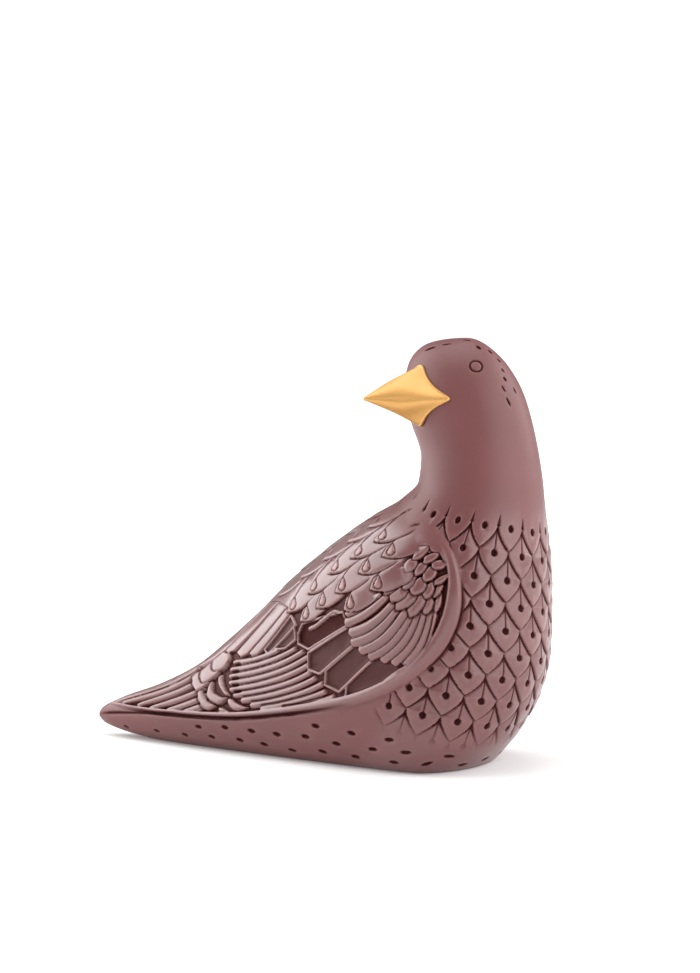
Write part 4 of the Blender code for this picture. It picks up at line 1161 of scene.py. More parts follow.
@dataclass(frozen=True)
class PressedMarks:
    """Small oval dashes on the flanks and the crown, and the ring of each eye.

    A flank mark holds its place on the bird's right; a crown mark its place, length and width.
    The flank's fronts and rears are length, width and depth.
    """

    flank: tuple[Triple, ...] = (
        (-123.2, -5.2, 5.0), (-108.1, -9.9, 5.0), (-94.7, -13.7, 5.0), (-87.9, -16.7, 8.5),
        (-75.6, -20.2, 9.5), (-82.0, -17.3, 5.5), (-69.4, -20.6, 5.5), (-63.5, -23.3, 9.5),
        (-58.6, -23.0, 5.0), (-52.4, -26.0, 9.5), (-46.7, -25.0, 4.0), (-39.9, -28.9, 10.0),
        (-35.4, -30.4, 14.0), (-33.2, -28.5, 5.0), (-26.7, -31.1, 8.5), (-20.3, -33.3, 13.0),
        (-19.7, -30.6, 4.5), (-12.0, -33.4, 8.0), (-4.9, -35.4, 12.0), (-4.3, -32.5, 4.0),
        (1.2, -34.7, 8.0), (7.2, -30.8, 4.0), (13.9, -27.1, 6.5), (15.4, -18.9, 2.5),
        (19.2, -7.1, 3.0),
    )
    flank_front: Triple = (4.6, 1.6, 0.65)
    flank_rear: Triple = (3.7, 1.75, 0.65)
    front_from: Pair = (-10.0, 5.0)
    full_from: Pair = (-123.0, -60.0)
    least: float = 0.75
    tilt: float = 0.08
    tilt_turns: float = -20.0
    breast_from: float = 10.0
    breast_way: Pair = (0.5, 0.85)
    crown: tuple[tuple[float, ...], ...] = (
        (-1.5, -8.1, 146.5, 3.2, 0.9), (4.4, -7.0, 148.0, 2.6, 0.6), (10.2, -3.0, 149.0, 2.4, 0.7),
        (15.4, -4.4, 147.3, 1.8, 1.1), (18.2, -1.7, 145.0, 1.6, 1.1), (21.3, -1.4, 142.0, 1.3, 0.9),
        (23.5, -3.2, 139.0, 1.2, 0.8), (25.0, -4.8, 136.0, 1.5, 0.9), (25.5, -7.5, 132.9, 2.0, 0.6),
        (27.6, -2.7, 131.9, 2.0, 0.7), (27.5, -7.7, 128.4, 2.6, 0.7),
    )
    crown_grown: float = 1.4
    crown_depth: float = 0.5
    crown_way: Triple = (1.0, 0.1, 0.25)
    nape_from: float = 14.0
    nape_way: Triple = (0.5, 0.1, -1.0)
    eye: Triple = (17.1, -10.9, 140.9)
    eye_radius: float = 2.2
    eye_groove: Pair = (0.50, 0.55)
    eye_slope: float = 0.7
    head_heading: float = 230.0
    # Gain of the marks' darkening: glaze pooling and painted shade.
    pooling_and_shade: float = 2.2
    eye_pool_and_shade: float = 1.6
    through_skin: float = 3.0

    def oval(self, skin: Skin, site: np.ndarray, way: np.ndarray, size: Pair) -> np.ndarray:
        """Oval share sqrt(1 - (2a/length)^2 - (2b/width)^2) in the skin's own plane.

        Args:
            skin: Smooth skin.
            site: Middle of the oval.
            way: Rough direction of its long axis.
            size: Length and width.

        Returns:
            Share 0..1 of the full depth.
        """
        flat = int(np.argmin(((skin.points - site) ** 2).sum(axis=2)))
        out = skin.normals.reshape(-1, 3)[flat]
        long = unit(way - out * (way @ out))
        short = np.cross(out, long)
        gap = skin.points - skin.points.reshape(-1, 3)[flat]
        a = gap @ long / (size[0] / 2)
        b = gap @ short / (size[1] / 2)
        near = np.abs(gap @ out) < self.through_skin
        return np.sqrt(np.clip(1.0 - a * a - b * b, 0.0, 1.0)) * near

    def eye_sites(self, form: BirdForm) -> list[np.ndarray]:
        """Both eyes; the second is mirrored through the plane of the turned head.

        Args:
            form: The body's form, whose slice at eye height gives the head's middle.

        Returns:
            The two places.
        """
        a = math.radians(self.head_heading)
        side = np.array((-math.sin(a), math.cos(a), 0.0))
        _, front, back, _ = form.sizes_at(np.array([self.eye[2]]))
        middle = np.array(((front[0] + back[0]) / 2, 0.0, 0.0))
        site = np.array(self.eye)
        return [site, site - 2 * side * ((site - middle) @ side)]

    def relief(self, skin: Skin, form: BirdForm) -> tuple[np.ndarray, np.ndarray]:
        """Height in millimetres of all the marks, and their darkening by glaze pooling and
        painted shade.

        Args:
            skin: Smooth skin.
            form: The body's form, for the place of the second eye.

        Returns:
            Height, and darkening 0..1 by glaze pooling and painted shade.
        """
        height = np.zeros(skin.arc.shape)
        pooling_and_shade = np.zeros(skin.arc.shape)
        for x, y, z in self.flank:
            share = np.interp(x, self.front_from, (0.0, 1.0))
            small = np.interp(x, self.full_from, (self.least, 1.0))
            size = (np.array(self.flank_rear) * (1 - share) + np.array(self.flank_front) * share)
            for hand in (1.0, -1.0):
                way = np.array((1.0, 0.0, self.tilt * (1 if x > self.tilt_turns else -1)))
                if x > self.breast_from:
                    way = np.array((self.breast_way[0], self.breast_way[1] * hand, 0.0))
                pit = self.oval(skin, np.array((x, y * hand, z)), way, tuple(size[:2] * small))
                height -= size[2] * pit
                pooling_and_shade = np.maximum(pooling_and_shade, np.clip(self.pooling_and_shade * pit, 0.0, 1.0))
        for x, y, z, long, broad in self.crown:
            way = np.array(self.nape_way if x > self.nape_from else self.crown_way)
            size = (long * self.crown_grown, broad * self.crown_grown)
            pit = self.oval(skin, np.array((x, y, z)), way, size)
            height -= self.crown_depth * pit
            pooling_and_shade = np.maximum(pooling_and_shade, np.clip(self.pooling_and_shade * pit, 0.0, 1.0))
        for site in self.eye_sites(form):
            flat = int(np.argmin(((skin.points - site) ** 2).sum(axis=2)))
            out = skin.normals.reshape(-1, 3)[flat]
            gap = skin.points - skin.points.reshape(-1, 3)[flat]
            lift = gap @ out
            away = np.sqrt(np.maximum((gap**2).sum(axis=2) - lift**2, 0.0))
            ring = np.clip(1.0 - np.abs(away - self.eye_radius) / self.eye_groove[0], 0.0, 1.0)
            ring = ring * (np.abs(lift) < self.through_skin)
            height -= self.eye_groove[1] * ring**self.eye_slope
            pooling_and_shade = np.maximum(pooling_and_shade, np.clip(self.eye_pool_and_shade * ring, 0.0, 1.0))
        return height, pooling_and_shade


def grid_mesh(name: str, points: np.ndarray, quads: np.ndarray, fans: np.ndarray) -> bpy.types.Mesh:
    """Mesh from whole arrays.

    Args:
        name: Mesh name.
        points: Vertices by 3, metres.
        quads: Faces by 4 vertex numbers.
        fans: Faces by 3 vertex numbers.

    Returns:
        The new mesh with smooth faces.
    """
    mesh = bpy.data.meshes.new(name)
    mesh.vertices.add(len(points))
    mesh.vertices.foreach_set("co", points.astype(np.float32).ravel())
    corners = np.concatenate([quads.ravel(), fans.ravel()]).astype(np.int32)
    mesh.loops.add(len(corners))
    mesh.loops.foreach_set("vertex_index", corners)
    starts = np.concatenate([
        4 * np.arange(len(quads)), 4 * len(quads) + 3 * np.arange(len(fans))]).astype(np.int32)
    mesh.polygons.add(len(starts))
    mesh.polygons.foreach_set("loop_start", starts)
    mesh.polygons.foreach_set("use_smooth", np.ones(len(starts), bool))
    mesh.update(calc_edges=True)
    mesh.validate()
    return mesh


def ring_quads(levels: int, around: int) -> np.ndarray:
    """Quads between neighbouring rings: (k, j), (k, j+1), (k+1, j+1), (k+1, j).

    Args:
        levels: Number of rings.
        around: Points of a ring.

    Returns:
        Vertex numbers, four to a face.
    """
    k = np.arange(levels - 1)[:, None] * around
    j = np.arange(around)[None, :]
    n = (j + 1) % around
    return np.stack([k + j, k + n, k + around + n, k + around + j], axis=2).reshape(-1, 4)


def end_fans(levels: int, around: int, first: int, last: int) -> tuple[np.ndarray, np.ndarray]:
    """Triangles that close both ends: (j+1, j, first) at ring 0, (j, j+1, last) at the last.

    Args:
        levels: Number of rings.
        around: Points of a ring.
        first: Vertex number in the middle of the first ring.
        last: Vertex number in the middle of the last ring.

    Returns:
        Vertex numbers of the first and of the last fan, three to a face.
    """
    j = np.arange(around)
    n = (j + 1) % around
    ring = (levels - 1) * around
    return (np.stack([n, j, np.full(around, first)], axis=1),
            np.stack([ring + j, ring + n, np.full(around, last)], axis=1))


def add_piece(name: str, mesh: bpy.types.Mesh, node: str) -> bpy.types.Object:
    """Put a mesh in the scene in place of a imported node.

    Args:
        name: Piece name.
        mesh: Its mesh, in place.
        node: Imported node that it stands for.

    Returns:
        The object, riding on the root body.
    """
    piece = bpy.data.objects.new(name, mesh)
    bpy.context.scene.collection.objects.link(piece)
    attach(piece, "root")
    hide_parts(node)
    return piece


@dataclass(frozen=True)
class Links:
    """Short hand for the nodes of one material."""

    tree: bpy.types.NodeTree

    def node(self, kind: str, **values: object) -> bpy.types.Node:
        """New node; names of sockets get values, names of properties are set.

        Args:
            kind: Node type.
            **values: Property or socket values; an underscore stands for a blank.

        Returns:
            The node.
        """
        made = self.tree.nodes.new(kind)
        for key, value in values.items():
            socket = key.replace("_", " ")
            if socket in made.inputs:
                made.inputs[socket].default_value = value
            else:
                setattr(made, key, value)
        return made

    def join(self, source: bpy.types.NodeSocket, target: bpy.types.NodeSocket) -> None:
        """Link two sockets."""
        self.tree.links.new(source, target)

    def reckon(self, operation: str, *terms: bpy.types.NodeSocket | float) -> bpy.types.NodeSocket:
        """New sum over sockets and plain numbers.

        Args:
            operation: MULTIPLY, or MULTIPLY_ADD for first * second + third.
            *terms: Its terms.

        Returns:
            Socket with the result.
        """
        made = self.node("ShaderNodeMath", operation=operation)
        for socket, term in zip(made.inputs, terms):
            if isinstance(term, bpy.types.NodeSocket):
                self.join(term, socket)
            else:
                socket.default_value = term
        return made.outputs[0]

    def spread(self, source: bpy.types.NodeSocket, to: Pair,
               held: Pair = (0.0, 1.0)) -> bpy.types.NodeSocket:
        """Map a value from one range to another.

        Args:
            source: The value.
            to: Values at both ends of the range.
            held: The range that it is held in.

        Returns:
            Socket with the result.
        """
        made = self.node("ShaderNodeMapRange", From_Min=held[0], From_Max=held[1],
                         To_Min=to[0], To_Max=to[1])
        self.join(source, made.inputs["Value"])
        return made.outputs["Result"]

    def mix(self, share: bpy.types.NodeSocket, low: Triple, high: Triple) -> bpy.types.Node:
        """Colour mix node.

        Args:
            share: Share of the second colour.
            low: First colour.
            high: Second colour.

        Returns:
            The node; colours are its inputs 6 and 7, the result its output 2.
        """
        made = self.node("ShaderNodeMix", data_type="RGBA")
        made.inputs[6].default_value = (*low, 1.0)
        made.inputs[7].default_value = (*high, 1.0)
        self.join(share, made.inputs[0])
        return made

    def fired(self, group: bpy.types.NodeTree, scale: float, shares: Pair) -> bpy.types.Node:
        """Place the shared effect, read over the piece's own coordinates.

        Args:
            group: The shared effect.
            scale: Scale of its clouds.
            shares: Cloud and grain in its height.

        Returns:
            The group's node.
        """
        made = self.node("ShaderNodeGroup", node_tree=group, Scale=scale, Cloud_Share=shares[0],
                         Grain_Share=shares[1])
        self.join(self.node("ShaderNodeTexCoord").outputs["Object"], made.inputs["Vector"])
        return made


def cloudiness_group() -> bpy.types.NodeTree:
    """Shared effect: slow clouds and fine grain of a fired surface.

    Cloud = noise(Scale), Grain = noise(18 * Scale); Height adds both with the given shares.

    Returns:
        Node group with inputs Vector, Scale, Cloud Share, Grain Share and outputs Cloud, Height.
    """
    group = bpy.data.node_groups.new("fired_surface", "ShaderNodeTree")
    face = group.interface
    face.new_socket("Vector", in_out="INPUT", socket_type="NodeSocketVector")
    for name, value in (("Scale", 30.0), ("Cloud Share", 0.5), ("Grain Share", 0.5)):
        face.new_socket(name, in_out="INPUT", socket_type="NodeSocketFloat").default_value = value
    for name in ("Cloud", "Height"):
        face.new_socket(name, in_out="OUTPUT", socket_type="NodeSocketFloat")
    links = Links(group)
    start = group.nodes.new("NodeGroupInput").outputs
    end = group.nodes.new("NodeGroupOutput").inputs
    cloud = links.node("ShaderNodeTexNoise", Detail=3.0, Roughness=0.55)
    grain = links.node("ShaderNodeTexNoise", Detail=2.0, Roughness=0.6)
    links.join(start["Vector"], cloud.inputs["Vector"])
    links.join(start["Vector"], grain.inputs["Vector"])
    links.join(start["Scale"], cloud.inputs["Scale"])
    links.join(links.reckon("MULTIPLY", start["Scale"], 18.0), grain.inputs["Scale"])
    slow = links.reckon("MULTIPLY", cloud.outputs["Fac"], start["Cloud Share"])
    links.join(cloud.outputs["Fac"], end["Cloud"])
    links.join(links.reckon("MULTIPLY_ADD", grain.outputs["Fac"], start["Grain Share"], slow),
               end["Height"])
    return group


@dataclass(frozen=True)
class BurgundyGlaze:
    """Satin burgundy glaze, dark in hollows and pale over crests.

    The dark is partly glaze pooling and partly painted shade; the pale is partly thin glaze and
    partly painted highlight. Hollows reflect in their own dark red instead of white, a painted
    shade on the reflections: the metallic share is a constant times hollow, and the coat fades
    there.
    """

    body: Triple = (0.142, 0.043, 0.043)
    # Dark red in hollows: glaze pooling and painted shade.
    pooled_and_shaded: Triple = (0.040, 0.0055, 0.0055)
    # Paler red over crests: thin glaze and painted highlight.
    thin: Triple = (0.230, 0.095, 0.085)
    shade: Pair = (0.88, 1.12)
    shade_range: Pair = (0.25, 0.75)
    satin: float = 0.42
    glossy: float = 0.25
    uneven: float = 0.10
    dull: float = 0.30
    coat: float = 0.9
    coat_roughness: float = 0.18
    specular: float = 0.5
    # Metallic share in hollows, so their reflections take the dark red: painted shade.
    painted_shade_metallic: float = 0.85
    cloud_scale: float = 34.0
    cloud_shares: Pair = (0.8, 0.2)
    bump: Pair = (0.25, 0.0004)

    def material(self, group: bpy.types.NodeTree) -> bpy.types.Material:
        """Build the glaze; hollow, crest and gloss come from the piece's own attributes.

        Args:
            group: The shared effect of a fired surface.

        Returns:
            The material.
        """
        made = bpy.data.materials.new("burgundy_glaze")
        made.use_nodes = True
        links = Links(made.node_tree)
        shader = made.node_tree.nodes["Principled BSDF"].inputs
        fired = links.fired(group, self.cloud_scale, self.cloud_shares).outputs
        hollow, crest, gloss = (
            links.node("ShaderNodeAttribute", attribute_name=name.value).outputs["Fac"]
            for name in (Field.HOLLOW, Field.CREST, Field.GLOSS))
        tinted = links.node("ShaderNodeVectorMath", operation="SCALE")
        # Paler over crests: thin glaze and painted highlight.
        links.join(links.mix(crest, self.body, self.thin).outputs[2], tinted.inputs[0])
        links.join(links.spread(fired["Cloud"], self.shade, self.shade_range),
                   tinted.inputs["Scale"])
        # Darker in hollows: glaze pooling and painted shade.
        darker = links.mix(hollow, self.body, self.pooled_and_shaded)
        links.join(tinted.outputs[0], darker.inputs[6])
        links.join(darker.outputs[2], shader["Base Color"])
        rough = links.spread(gloss, (self.satin, self.glossy))
        rough = links.reckon("MULTIPLY_ADD", fired["Cloud"], self.uneven, rough)
        links.join(links.reckon("MULTIPLY_ADD", hollow, self.dull, rough), shader["Roughness"])
        # Dark red reflections in hollows: painted shade on the reflections.
        links.join(links.reckon("MULTIPLY", hollow, self.painted_shade_metallic), shader["Metallic"])
        bump = links.node("ShaderNodeBump", Strength=self.bump[0], Distance=self.bump[1])
        links.join(fired["Height"], bump.inputs["Height"])
        links.join(bump.outputs["Normal"], shader["Normal"])
        bare = links.spread(hollow, (self.coat, 0.0))
        links.join(links.reckon("MULTIPLY", gloss, bare), shader["Coat Weight"])
        shader["Coat Roughness"].default_value = self.coat_roughness
        shader["Specular IOR Level"].default_value = self.specular
        return made


@dataclass(frozen=True)
class SatinGold:
    """Fired lustrous gold with a soft, slightly uneven sheen."""

    bright: Triple = (0.74, 0.43, 0.14)
    deep: Triple = (0.62, 0.34, 0.10)
    roughness: Pair = (0.55, 0.65)
    coat: float = 0.5
    coat_roughness: float = 0.30
    cloud_scale: float = 90.0
    cloud_shares: Pair = (0.7, 0.3)
    bump: Pair = (0.12, 0.0003)

    def material(self, group: bpy.types.NodeTree) -> bpy.types.Material:
        """Build the gold from clouds of colour and roughness over a plain metal.

        Args:
            group: The shared effect of a fired surface.

        Returns:
            The material.
        """
        made = bpy.data.materials.new("satin_gold")
        made.use_nodes = True
        links = Links(made.node_tree)
        shader = made.node_tree.nodes["Principled BSDF"].inputs
        fired = links.fired(group, self.cloud_scale, self.cloud_shares).outputs
        links.join(links.mix(fired["Cloud"], self.deep, self.bright).outputs[2],
                   shader["Base Color"])
        links.join(links.spread(fired["Cloud"], self.roughness), shader["Roughness"])
        bump = links.node("ShaderNodeBump", Strength=self.bump[0], Distance=self.bump[1])
        links.join(fired["Height"], bump.inputs["Height"])
        links.join(bump.outputs["Normal"], shader["Normal"])
        shader["Metallic"].default_value = 1.0
        shader["Coat Weight"].default_value = self.coat
        shader["Coat Roughness"].default_value = self.coat_roughness
        return made


@dataclass
class StarlingBody:
    """The carved and glazed bird.

    The grids are levels by around, and the finished piece is thinned to the triangles given.
    """

    form: BirdForm = field(default_factory=BirdForm)
    wing: WingCarving = field(default_factory=WingCarving)
    breast: BreastScales = field(default_factory=BreastScales)
    marks: PressedMarks = field(default_factory=PressedMarks)
    stature: Stature = field(default_factory=Stature)
    fine_grid: tuple[int, int] = (640, 960)
    quick_grid: tuple[int, int] = (380, 480)
    triangles: int = 190000
    # Depth over which glaze pooling and painted shade in hollows become full, and their top share.
    pool: float = 0.8
    most_pool_and_shade: float = 0.7
    rise: float = 0.5
    breast_gloss: float = 0.5
    breast_top: Pair = (95.0, 84.0)
    breast_side: Pair = (64.0, 56.0)
    foot_clearance: float = 0.0002

    def relief(self, skin: Skin) -> tuple[np.ndarray, dict[Field, np.ndarray]]:
        """Height over the skin and the glaze attributes.

        Glaze pooling and painted shade darken where h lies under its mean over about two
        millimetres, (mean - h) / pool, and in every engraved line and pit. Crests are paler
        from thin glaze and painted highlight: crest = (h - mean) / rise, held in 0..1.

        Args:
            skin: Smooth skin.

        Returns:
            Height in millimetres, and the attributes.
        """
        wing = self.wing.relief(skin)
        breast, scaled = self.breast.relief(skin)
        marked, pooling_and_shade = self.marks.relief(skin, self.form)
        height = soften(wing.height + breast * wing.beyond + marked, 1)
        mean = soften(height, 5)
        # Hollows: glaze pooling and painted shade; crests: thin glaze and painted highlight.
        hollow = np.clip((mean - height) / self.pool, 0.0, self.most_pool_and_shade)
        crest = np.clip((height - mean) / self.rise, 0.0, 1.0)
        front = smooth_step(skin.points[..., 2], *self.breast_top)
        front = front * smooth_step(np.abs(skin.arc), *self.breast_side) * wing.beyond
        return height, {
            Field.HOLLOW: np.maximum.reduce((hollow, wing.pool, scaled * wing.beyond, pooling_and_shade)),
            Field.CREST: np.maximum(crest, wing.pale),
            Field.GLOSS: np.maximum(wing.gloss, self.breast_gloss * front),
        }

    def mesh(self, fine: bool) -> bpy.types.Mesh:
        """Skin plus relief along its normals, closed by a crown fan and an underside fan.

        Args:
            fine: True for the finished grid, False for a quick one.

        Returns:
            Closed mesh in metres, with the glaze attributes.
        """
        levels, around = self.fine_grid if fine else self.quick_grid
        skin = self.form.skin(levels, around)
        height, fields = self.relief(skin)
        height[0] = 0.0
        real = Skin(self.stature.place(skin.points), skin.arc, skin.half_width)
        points = real.points + real.normals * height[..., None] * MILLIMETRE
        points[0, :, 2] = 0.0
        points[1:, :, 2] = np.maximum(points[1:, :, 2], self.foot_clearance)
        crown = self.stature.place((self.form.slices[-1][2], 0.0, self.form.drawn_height))
        foot = (*points[0].mean(axis=0)[:2], 0.0)
        everything = np.vstack([points.reshape(-1, 3), crown, foot])
        under, top = end_fans(levels, around, len(everything) - 1, len(everything) - 2)
        mesh = grid_mesh("starling_glazed", everything, ring_quads(levels, around),
                         np.vstack([top, under]))
        for name, values in fields.items():
            layer = mesh.attributes.new(name.value, "FLOAT", "POINT")
            ended = np.append(values.ravel(), (0.0, 0.0)).astype(np.float32)
            layer.data.foreach_set("value", ended)
        return mesh

    def build(self, fine: bool) -> bpy.types.Object:
        """The piece, with flat stretches thinned to keep it light.

        Args:
            fine: True for the finished grid, False for a quick one.

        Returns:
            The piece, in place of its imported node.
        """
        piece = add_piece("starling_glazed", self.mesh(fine), "starling_body")
        thin = piece.modifiers.new("fewer facets", "DECIMATE")
        count = len(piece.data.polygons) * 2
        thin.ratio = min(1.0, self.triangles / count)
        bpy.context.view_layer.update()
        graph = bpy.context.evaluated_depsgraph_get()
        light = bpy.data.meshes.new_from_object(piece.evaluated_get(graph))
        piece.modifiers.clear()
        old = piece.data
        piece.data = light
        bpy.data.meshes.remove(old)
        light.name = "starling_glazed"
        light.polygons.foreach_set("use_smooth", np.ones(len(light.polygons), bool))
        return piece

    def dress(self, piece: bpy.types.Object, glaze: bpy.types.Material) -> None:
        """Give the bird its glaze."""
        piece.data.materials.clear()
        piece.data.materials.append(glaze)


@dataclass
class GildedBeak:
    """Four-cornered beak whose back follows the face across a fine seam.

    Lengths are drawn millimetres: reach from the head's axis to the tip, the level of the beak's
    own axis, and from that axis up to the top corner, out to the cheeks and over to the chin.
    """

    form: BirdForm = field(default_factory=BirdForm)
    stature: Stature = field(default_factory=Stature)
    heading: float = 230.0
    reach: float = 39.2
    level: float = 129.7
    top: float = 12.4
    chin: Pair = (5.0, -10.9)
    cheek: float = 15.6
    rounded_from: float = 0.60
    rounded_power: float = 1.45
    rounded_cheek: float = 0.88
    rounded_top: float = 0.94
    rounded_chin: float = 0.80
    flank: float = 0.37
    tip_radius: float = 0.7
    edge: float = 0.9
    fillet: float = 0.35
    seam: float = 0.3
    around: int = 192
    steps: int = 70
    back_rings: int = 15
    edge_rings: int = 7
    tip_rings: int = 6
    corner_reach: int = 14
    corner_spread: float = 9.5
    face_grid: tuple[int, int] = (500, 600)
    face_bottom: float = 100.0

    def directions(self) -> tuple[np.ndarray, np.ndarray, np.ndarray]:
        """Frame of the beak on the turned head.

        Returns:
            Head axis at beak level, and the forward and sideways directions.
        """
        a = math.radians(self.heading)
        forward = np.array((math.cos(a), math.sin(a), 0.0))
        _, front, back, _ = self.form.sizes_at(np.array([self.level]))
        axis = np.array(((front[0] + back[0]) / 2, 0.0, 0.0))
        return axis, forward, np.array((-forward[1], forward[0], 0.0))

    def rim(self) -> np.ndarray:
        """Outline of the root: four corners joined by hollow curves, blunted by a running mean.

        Returns:
            Sideways and upward places of its points.
        """
        corners = ((self.cheek, 0.0), (0.0, self.top), (-self.cheek, 0.0), self.chin)
        per_side = self.around // 4
        line = np.vstack([
            bend((a, (self.flank * (a[0] + b[0]), self.flank * (a[1] + b[1])), b),
                 per_side + 1)[:-1]
            for a, b in zip(corners, corners[1:] + corners[:1])
        ])
        shifts = np.arange(-self.corner_reach, self.corner_reach + 1)
        weights = np.exp(-2.0 * (shifts / self.corner_spread) ** 2)
        weights = weights / weights.sum()
        return sum(w * np.roll(line, k, axis=0) for k, w in zip(shifts, weights))

    def rounded_section(self) -> np.ndarray:
        """Soft four-sided section: across = a cos(q)^p, above = b sin(q)^p in each quarter.

        Returns:
            Sideways and upward places of its points.
        """
        q = np.linspace(0.0, 2 * math.pi, self.around, endpoint=False)
        across = np.sign(np.cos(q)) * np.abs(np.cos(q)) ** self.rounded_power
        above = np.sign(np.sin(q)) * np.abs(np.sin(q)) ** self.rounded_power
        tall = np.where(above > 0, self.top * self.rounded_top, -self.chin[1] * self.rounded_chin)
        across = across * self.cheek * self.rounded_cheek
        across = across + self.chin[0] * np.clip(-above, 0.0, 1.0)
        return np.column_stack([across, above * tall])

    def face_depth(self, across: np.ndarray, above: np.ndarray, offset: float) -> np.ndarray:
        """Depth of the face along the beak, offset along its normals.

        The nearest skin point gives depth d0 and normal n; d = d0 - (n . gap) / (n . forward).

        Args:
            across: Sideways places.
            above: Heights over the beak's own level.
            offset: Distance over the skin.

        Returns:
            Depths from the head axis.
        """
        axis, forward, side = self.directions()
        skin = self.form.skin(*self.face_grid)
        held = (((skin.points - axis) @ forward > 0) & (skin.normals @ forward > 0.1)
                & (skin.points[..., 2] > self.face_bottom))
        normals = skin.normals[held]
        points = skin.points[held] + normals * offset
        along = (points - axis) @ forward
        beside = (points - axis) @ side
        shape = across.shape
        across = across.ravel()
        level = self.level + above.ravel()
        nearest = np.concatenate([
            np.argmin((beside[None, :] - a[:, None]) ** 2
                      + (points[None, :, 2] - h[:, None]) ** 2, axis=1)
            for a, h in zip(np.array_split(across, 40), np.array_split(level, 40))
        ])
        normal = normals[nearest]
        lean = normal @ side * (across - beside[nearest])
        lean = lean + normal[:, 2] * (level - points[nearest, 2])
        return (along[nearest] - lean / (normal @ forward)).reshape(shape)

    def mesh(self) -> bpy.types.Mesh:
        """Back on the face, a proud wall with a rounded edge, and flanks that run to the tip.

        Flanks: p(s) = section(s) * (1 - s) + tip * s, where the section softens from the
        four-cornered rim to a rounded one.

        Returns:
            Closed mesh in metres.
        """
        axis, forward, side = self.directions()
        rim = self.rim()
        way = unit(rim)
        face = self.face_depth(rim[:, 0], rim[:, 1], self.seam)
        shares = np.linspace(0.0, 1.0, self.back_rings + 1)[1:]
        inner = rim[None] * shares[:, None, None]
        depth = self.face_depth(inner[..., 0], inner[..., 1], self.seam)
        rows = [np.column_stack([ring, d]) for ring, d in zip(inner, depth)]
        for a in np.linspace(0.0, math.pi / 2, self.edge_rings):
            inset = self.fillet * (1 - np.cos(a))
            lift = self.edge - self.fillet * (1 - np.sin(a))
            rows.append(np.column_stack([rim - way * inset, face + lift]))
        base = rim - way * self.fillet
        end = way * self.tip_radius
        soft = self.rounded_section()
        for s in np.linspace(0.0, 1.0, self.steps)[1:]:
            share = float(smooth_step(np.array(s), 0.0, self.rounded_from))
            section = base * (1 - share) + soft * share
            flat = section * (1 - s) + end * s
            deep = (face + self.edge) * (1 - s) + (self.reach - self.tip_radius) * s
            rows.append(np.column_stack([flat, deep]))
        for a in np.linspace(0.0, math.pi / 2, self.tip_rings + 2)[1:-1]:
            deep = self.reach - self.tip_radius * (1 - math.sin(a))
            rows.append(np.column_stack([end * math.cos(a), np.full(len(rim), deep)]))
        grid = np.array(rows)
        middle = float(self.face_depth(np.array([0.0]), np.array([0.0]), self.seam)[0])
        flat = np.vstack([grid.reshape(-1, 3), (0.0, 0.0, middle), (0.0, 0.0, self.reach)])
        placed = (axis + flat[:, 2:] * forward + flat[:, :1] * side
                  + flat[:, 1:2] * (0.0, 0.0, 1.0) + (0.0, 0.0, self.level))
        levels, around = grid.shape[:2]
        back, tip = end_fans(levels, around, len(placed) - 2, len(placed) - 1)
        return grid_mesh("beak_gilded", self.stature.place(placed), ring_quads(levels, around),
                         np.vstack([back, tip]))

    def build(self) -> bpy.types.Object:
        """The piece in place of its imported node."""
        return add_piece("beak_gilded", self.mesh(), "gilded_beak")

    def dress(self, piece: bpy.types.Object, gold: bpy.types.Material) -> None:
        """Give the beak its gold."""
        piece.data.materials.append(gold)


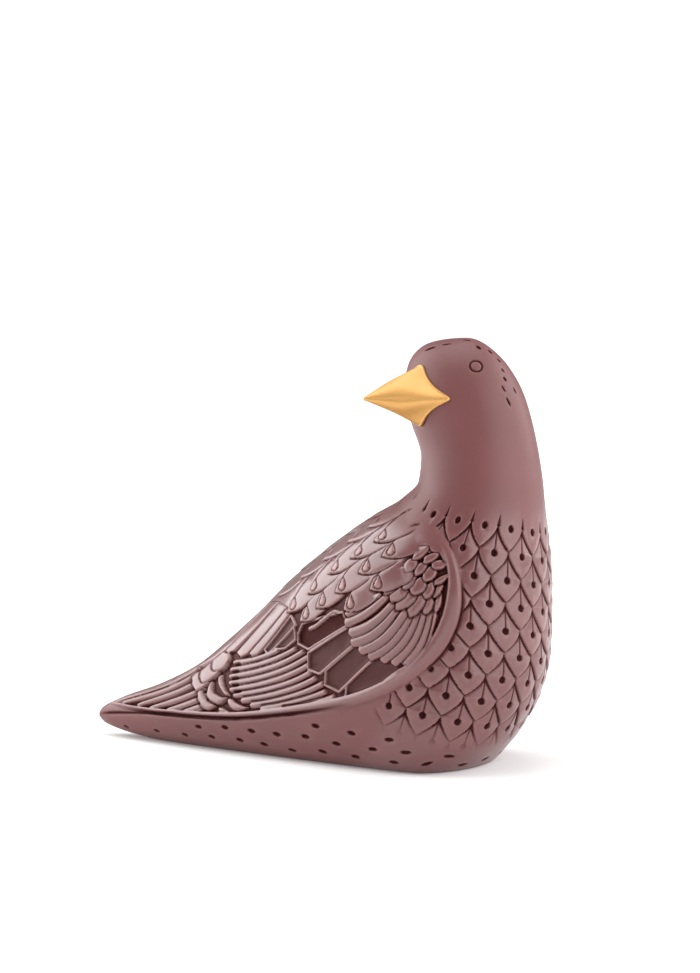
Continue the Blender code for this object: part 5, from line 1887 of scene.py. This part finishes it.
@dataclass(frozen=True)
class Studio:
    """Plain pale floor, soft boxes and the camera."""

    picture: tuple[int, int] = (700, 973)
    focal_pixels: float = 3365.6
    target: Triple = (0.04975, 0.0, 0.0)
    target_pixel: Pair = (443.0, 759.0)
    distance: float = 1.2
    azimuth: float = 23.0
    elevation: float = 10.0
    aim: Triple = (0.0, 0.0, 0.06)
    boxes: tuple[tuple[str, Triple, Pair, float], ...] = (
        ("left_box", (-0.85, -0.12, 0.52), (1.1, 1.1), 12.0),
        ("right_box", (0.85, -0.10, 0.45), (0.9, 1.0), 7.0),
        ("top_box", (-0.05, 0.05, 1.0), (0.9, 0.7), 5.2),
        ("rear_box", (0.60, 0.60, 0.50), (0.6, 0.8), 4.5),
        ("front_box", (-0.55, -0.95, 0.25), (0.5, 0.5), 1.3),
    )
    surround: Pair = (0.37, 1.05)
    floor_half: float = 8.0
    floor_gap: float = 0.0003
    floor_glow: Pair = (0.12, 0.9)
    floor_glow_reach: Pair = (0.12, 1.0)

    def camera(self) -> None:
        """Long lens at the photographed angle, aimed so that the target falls on its pixel."""
        a, e = math.radians(self.azimuth), math.radians(self.elevation)
        back = Vector((math.sin(a) * math.cos(e), -math.cos(a) * math.cos(e), math.sin(e)))
        right = Vector((math.cos(a), math.sin(a), 0.0))
        up = back.cross(right)
        spot = Vector(self.target) + back * self.distance
        width, height = self.picture
        ray = (-back * self.focal_pixels + right * (width / 2 - self.target_pixel[0])
               + up * (self.target_pixel[1] - height / 2))
        data = bpy.data.cameras.new("camera")
        data.sensor_width = 36.0
        data.lens = self.focal_pixels / max(self.picture) * data.sensor_width
        data.clip_start = 0.05
        data.clip_end = 60.0
        thing = bpy.data.objects.new("camera", data)
        thing.location = spot
        thing.rotation_mode = "QUATERNION"
        thing.rotation_quaternion = ray.normalized().to_track_quat("-Z", "Y")
        bpy.context.scene.collection.objects.link(thing)
        bpy.context.scene.camera = thing

    def box(self, name: str, place: Triple, size: Pair, power: float) -> None:
        """Soft box that faces the bird.

        Args:
            name: Light name.
            place: Its middle.
            size: Width and height.
            power: Watts.
        """
        data = bpy.data.lights.new(name, "AREA")
        data.shape = "RECTANGLE"
        data.size, data.size_y = size
        data.energy = power
        thing = bpy.data.objects.new(name, data)
        thing.location = place
        thing.rotation_mode = "QUATERNION"
        aim = Vector(self.aim) - Vector(place)
        thing.rotation_quaternion = aim.to_track_quat("-Z", "Y")
        bpy.context.scene.collection.objects.link(thing)

    def floor(self) -> None:
        """Wide pale floor that glows a little, more so far from the bird."""
        mesh = bpy.data.meshes.new("floor")
        half = self.floor_half
        mesh.from_pydata([(-half, -half, 0), (half, -half, 0), (half, half, 0), (-half, half, 0)],
                         [], [(0, 1, 2, 3)])
        thing = bpy.data.objects.new("floor", mesh)
        thing.location = (0.0, 0.0, -self.floor_gap)
        bpy.context.scene.collection.objects.link(thing)
        made = bpy.data.materials.new("pale_floor")
        made.use_nodes = True
        links = Links(made.node_tree)
        shader = made.node_tree.nodes["Principled BSDF"]
        shader.inputs["Base Color"].default_value = (0.85, 0.85, 0.85, 1.0)
        shader.inputs["Roughness"].default_value = 0.7
        shader.inputs["Specular IOR Level"].default_value = 0.1
        place = links.node("ShaderNodeTexCoord")
        away = links.node("ShaderNodeVectorMath", operation="LENGTH")
        links.join(place.outputs["Object"], away.inputs[0])
        glow = links.spread(away.outputs["Value"], self.floor_glow, self.floor_glow_reach)
        shader.inputs["Emission Color"].default_value = (1.0, 1.0, 1.0, 1.0)
        links.join(glow, shader.inputs["Emission Strength"])
        mesh.materials.append(made)

    def sky(self) -> None:
        """White surround: bright to the eye, softer as a light."""
        world = bpy.data.worlds.new("studio")
        bpy.context.scene.world = world
        world.use_nodes = True
        links = Links(world.node_tree)
        paint = world.node_tree.nodes["Background"]
        paint.inputs["Color"].default_value = (1.0, 1.0, 1.0, 1.0)
        path = links.node("ShaderNodeLightPath")
        level = links.spread(path.outputs["Is Camera Ray"], self.surround)
        links.join(level, paint.inputs["Strength"])

    def build(self) -> None:
        """Camera, floor, surround and lights."""
        self.camera()
        self.floor()
        self.sky()
        for name, place, size, power in self.boxes:
            self.box(name, place, size, power)
        bpy.context.scene.view_settings.view_transform = "Standard"


def main() -> None:
    """Build the pieces in order and report each one."""
    logging.basicConfig(level=logging.INFO, format="%(name)s: %(message)s")
    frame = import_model()
    log.info("frame with %d nodes", len(frame["nodes"]))
    group = cloudiness_group()
    body = StarlingBody()
    bird = body.build(fine=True)
    body.dress(bird, BurgundyGlaze().material(group))
    log.info("%s: %d faces", bird.name, len(bird.data.polygons))
    beak = GildedBeak()
    gilded = beak.build()
    beak.dress(gilded, SatinGold().material(group))
    log.info("%s: %d faces", gilded.name, len(gilded.data.polygons))
    Studio().build()
    log.info("studio set")


if __name__ == "__main__":
    main()
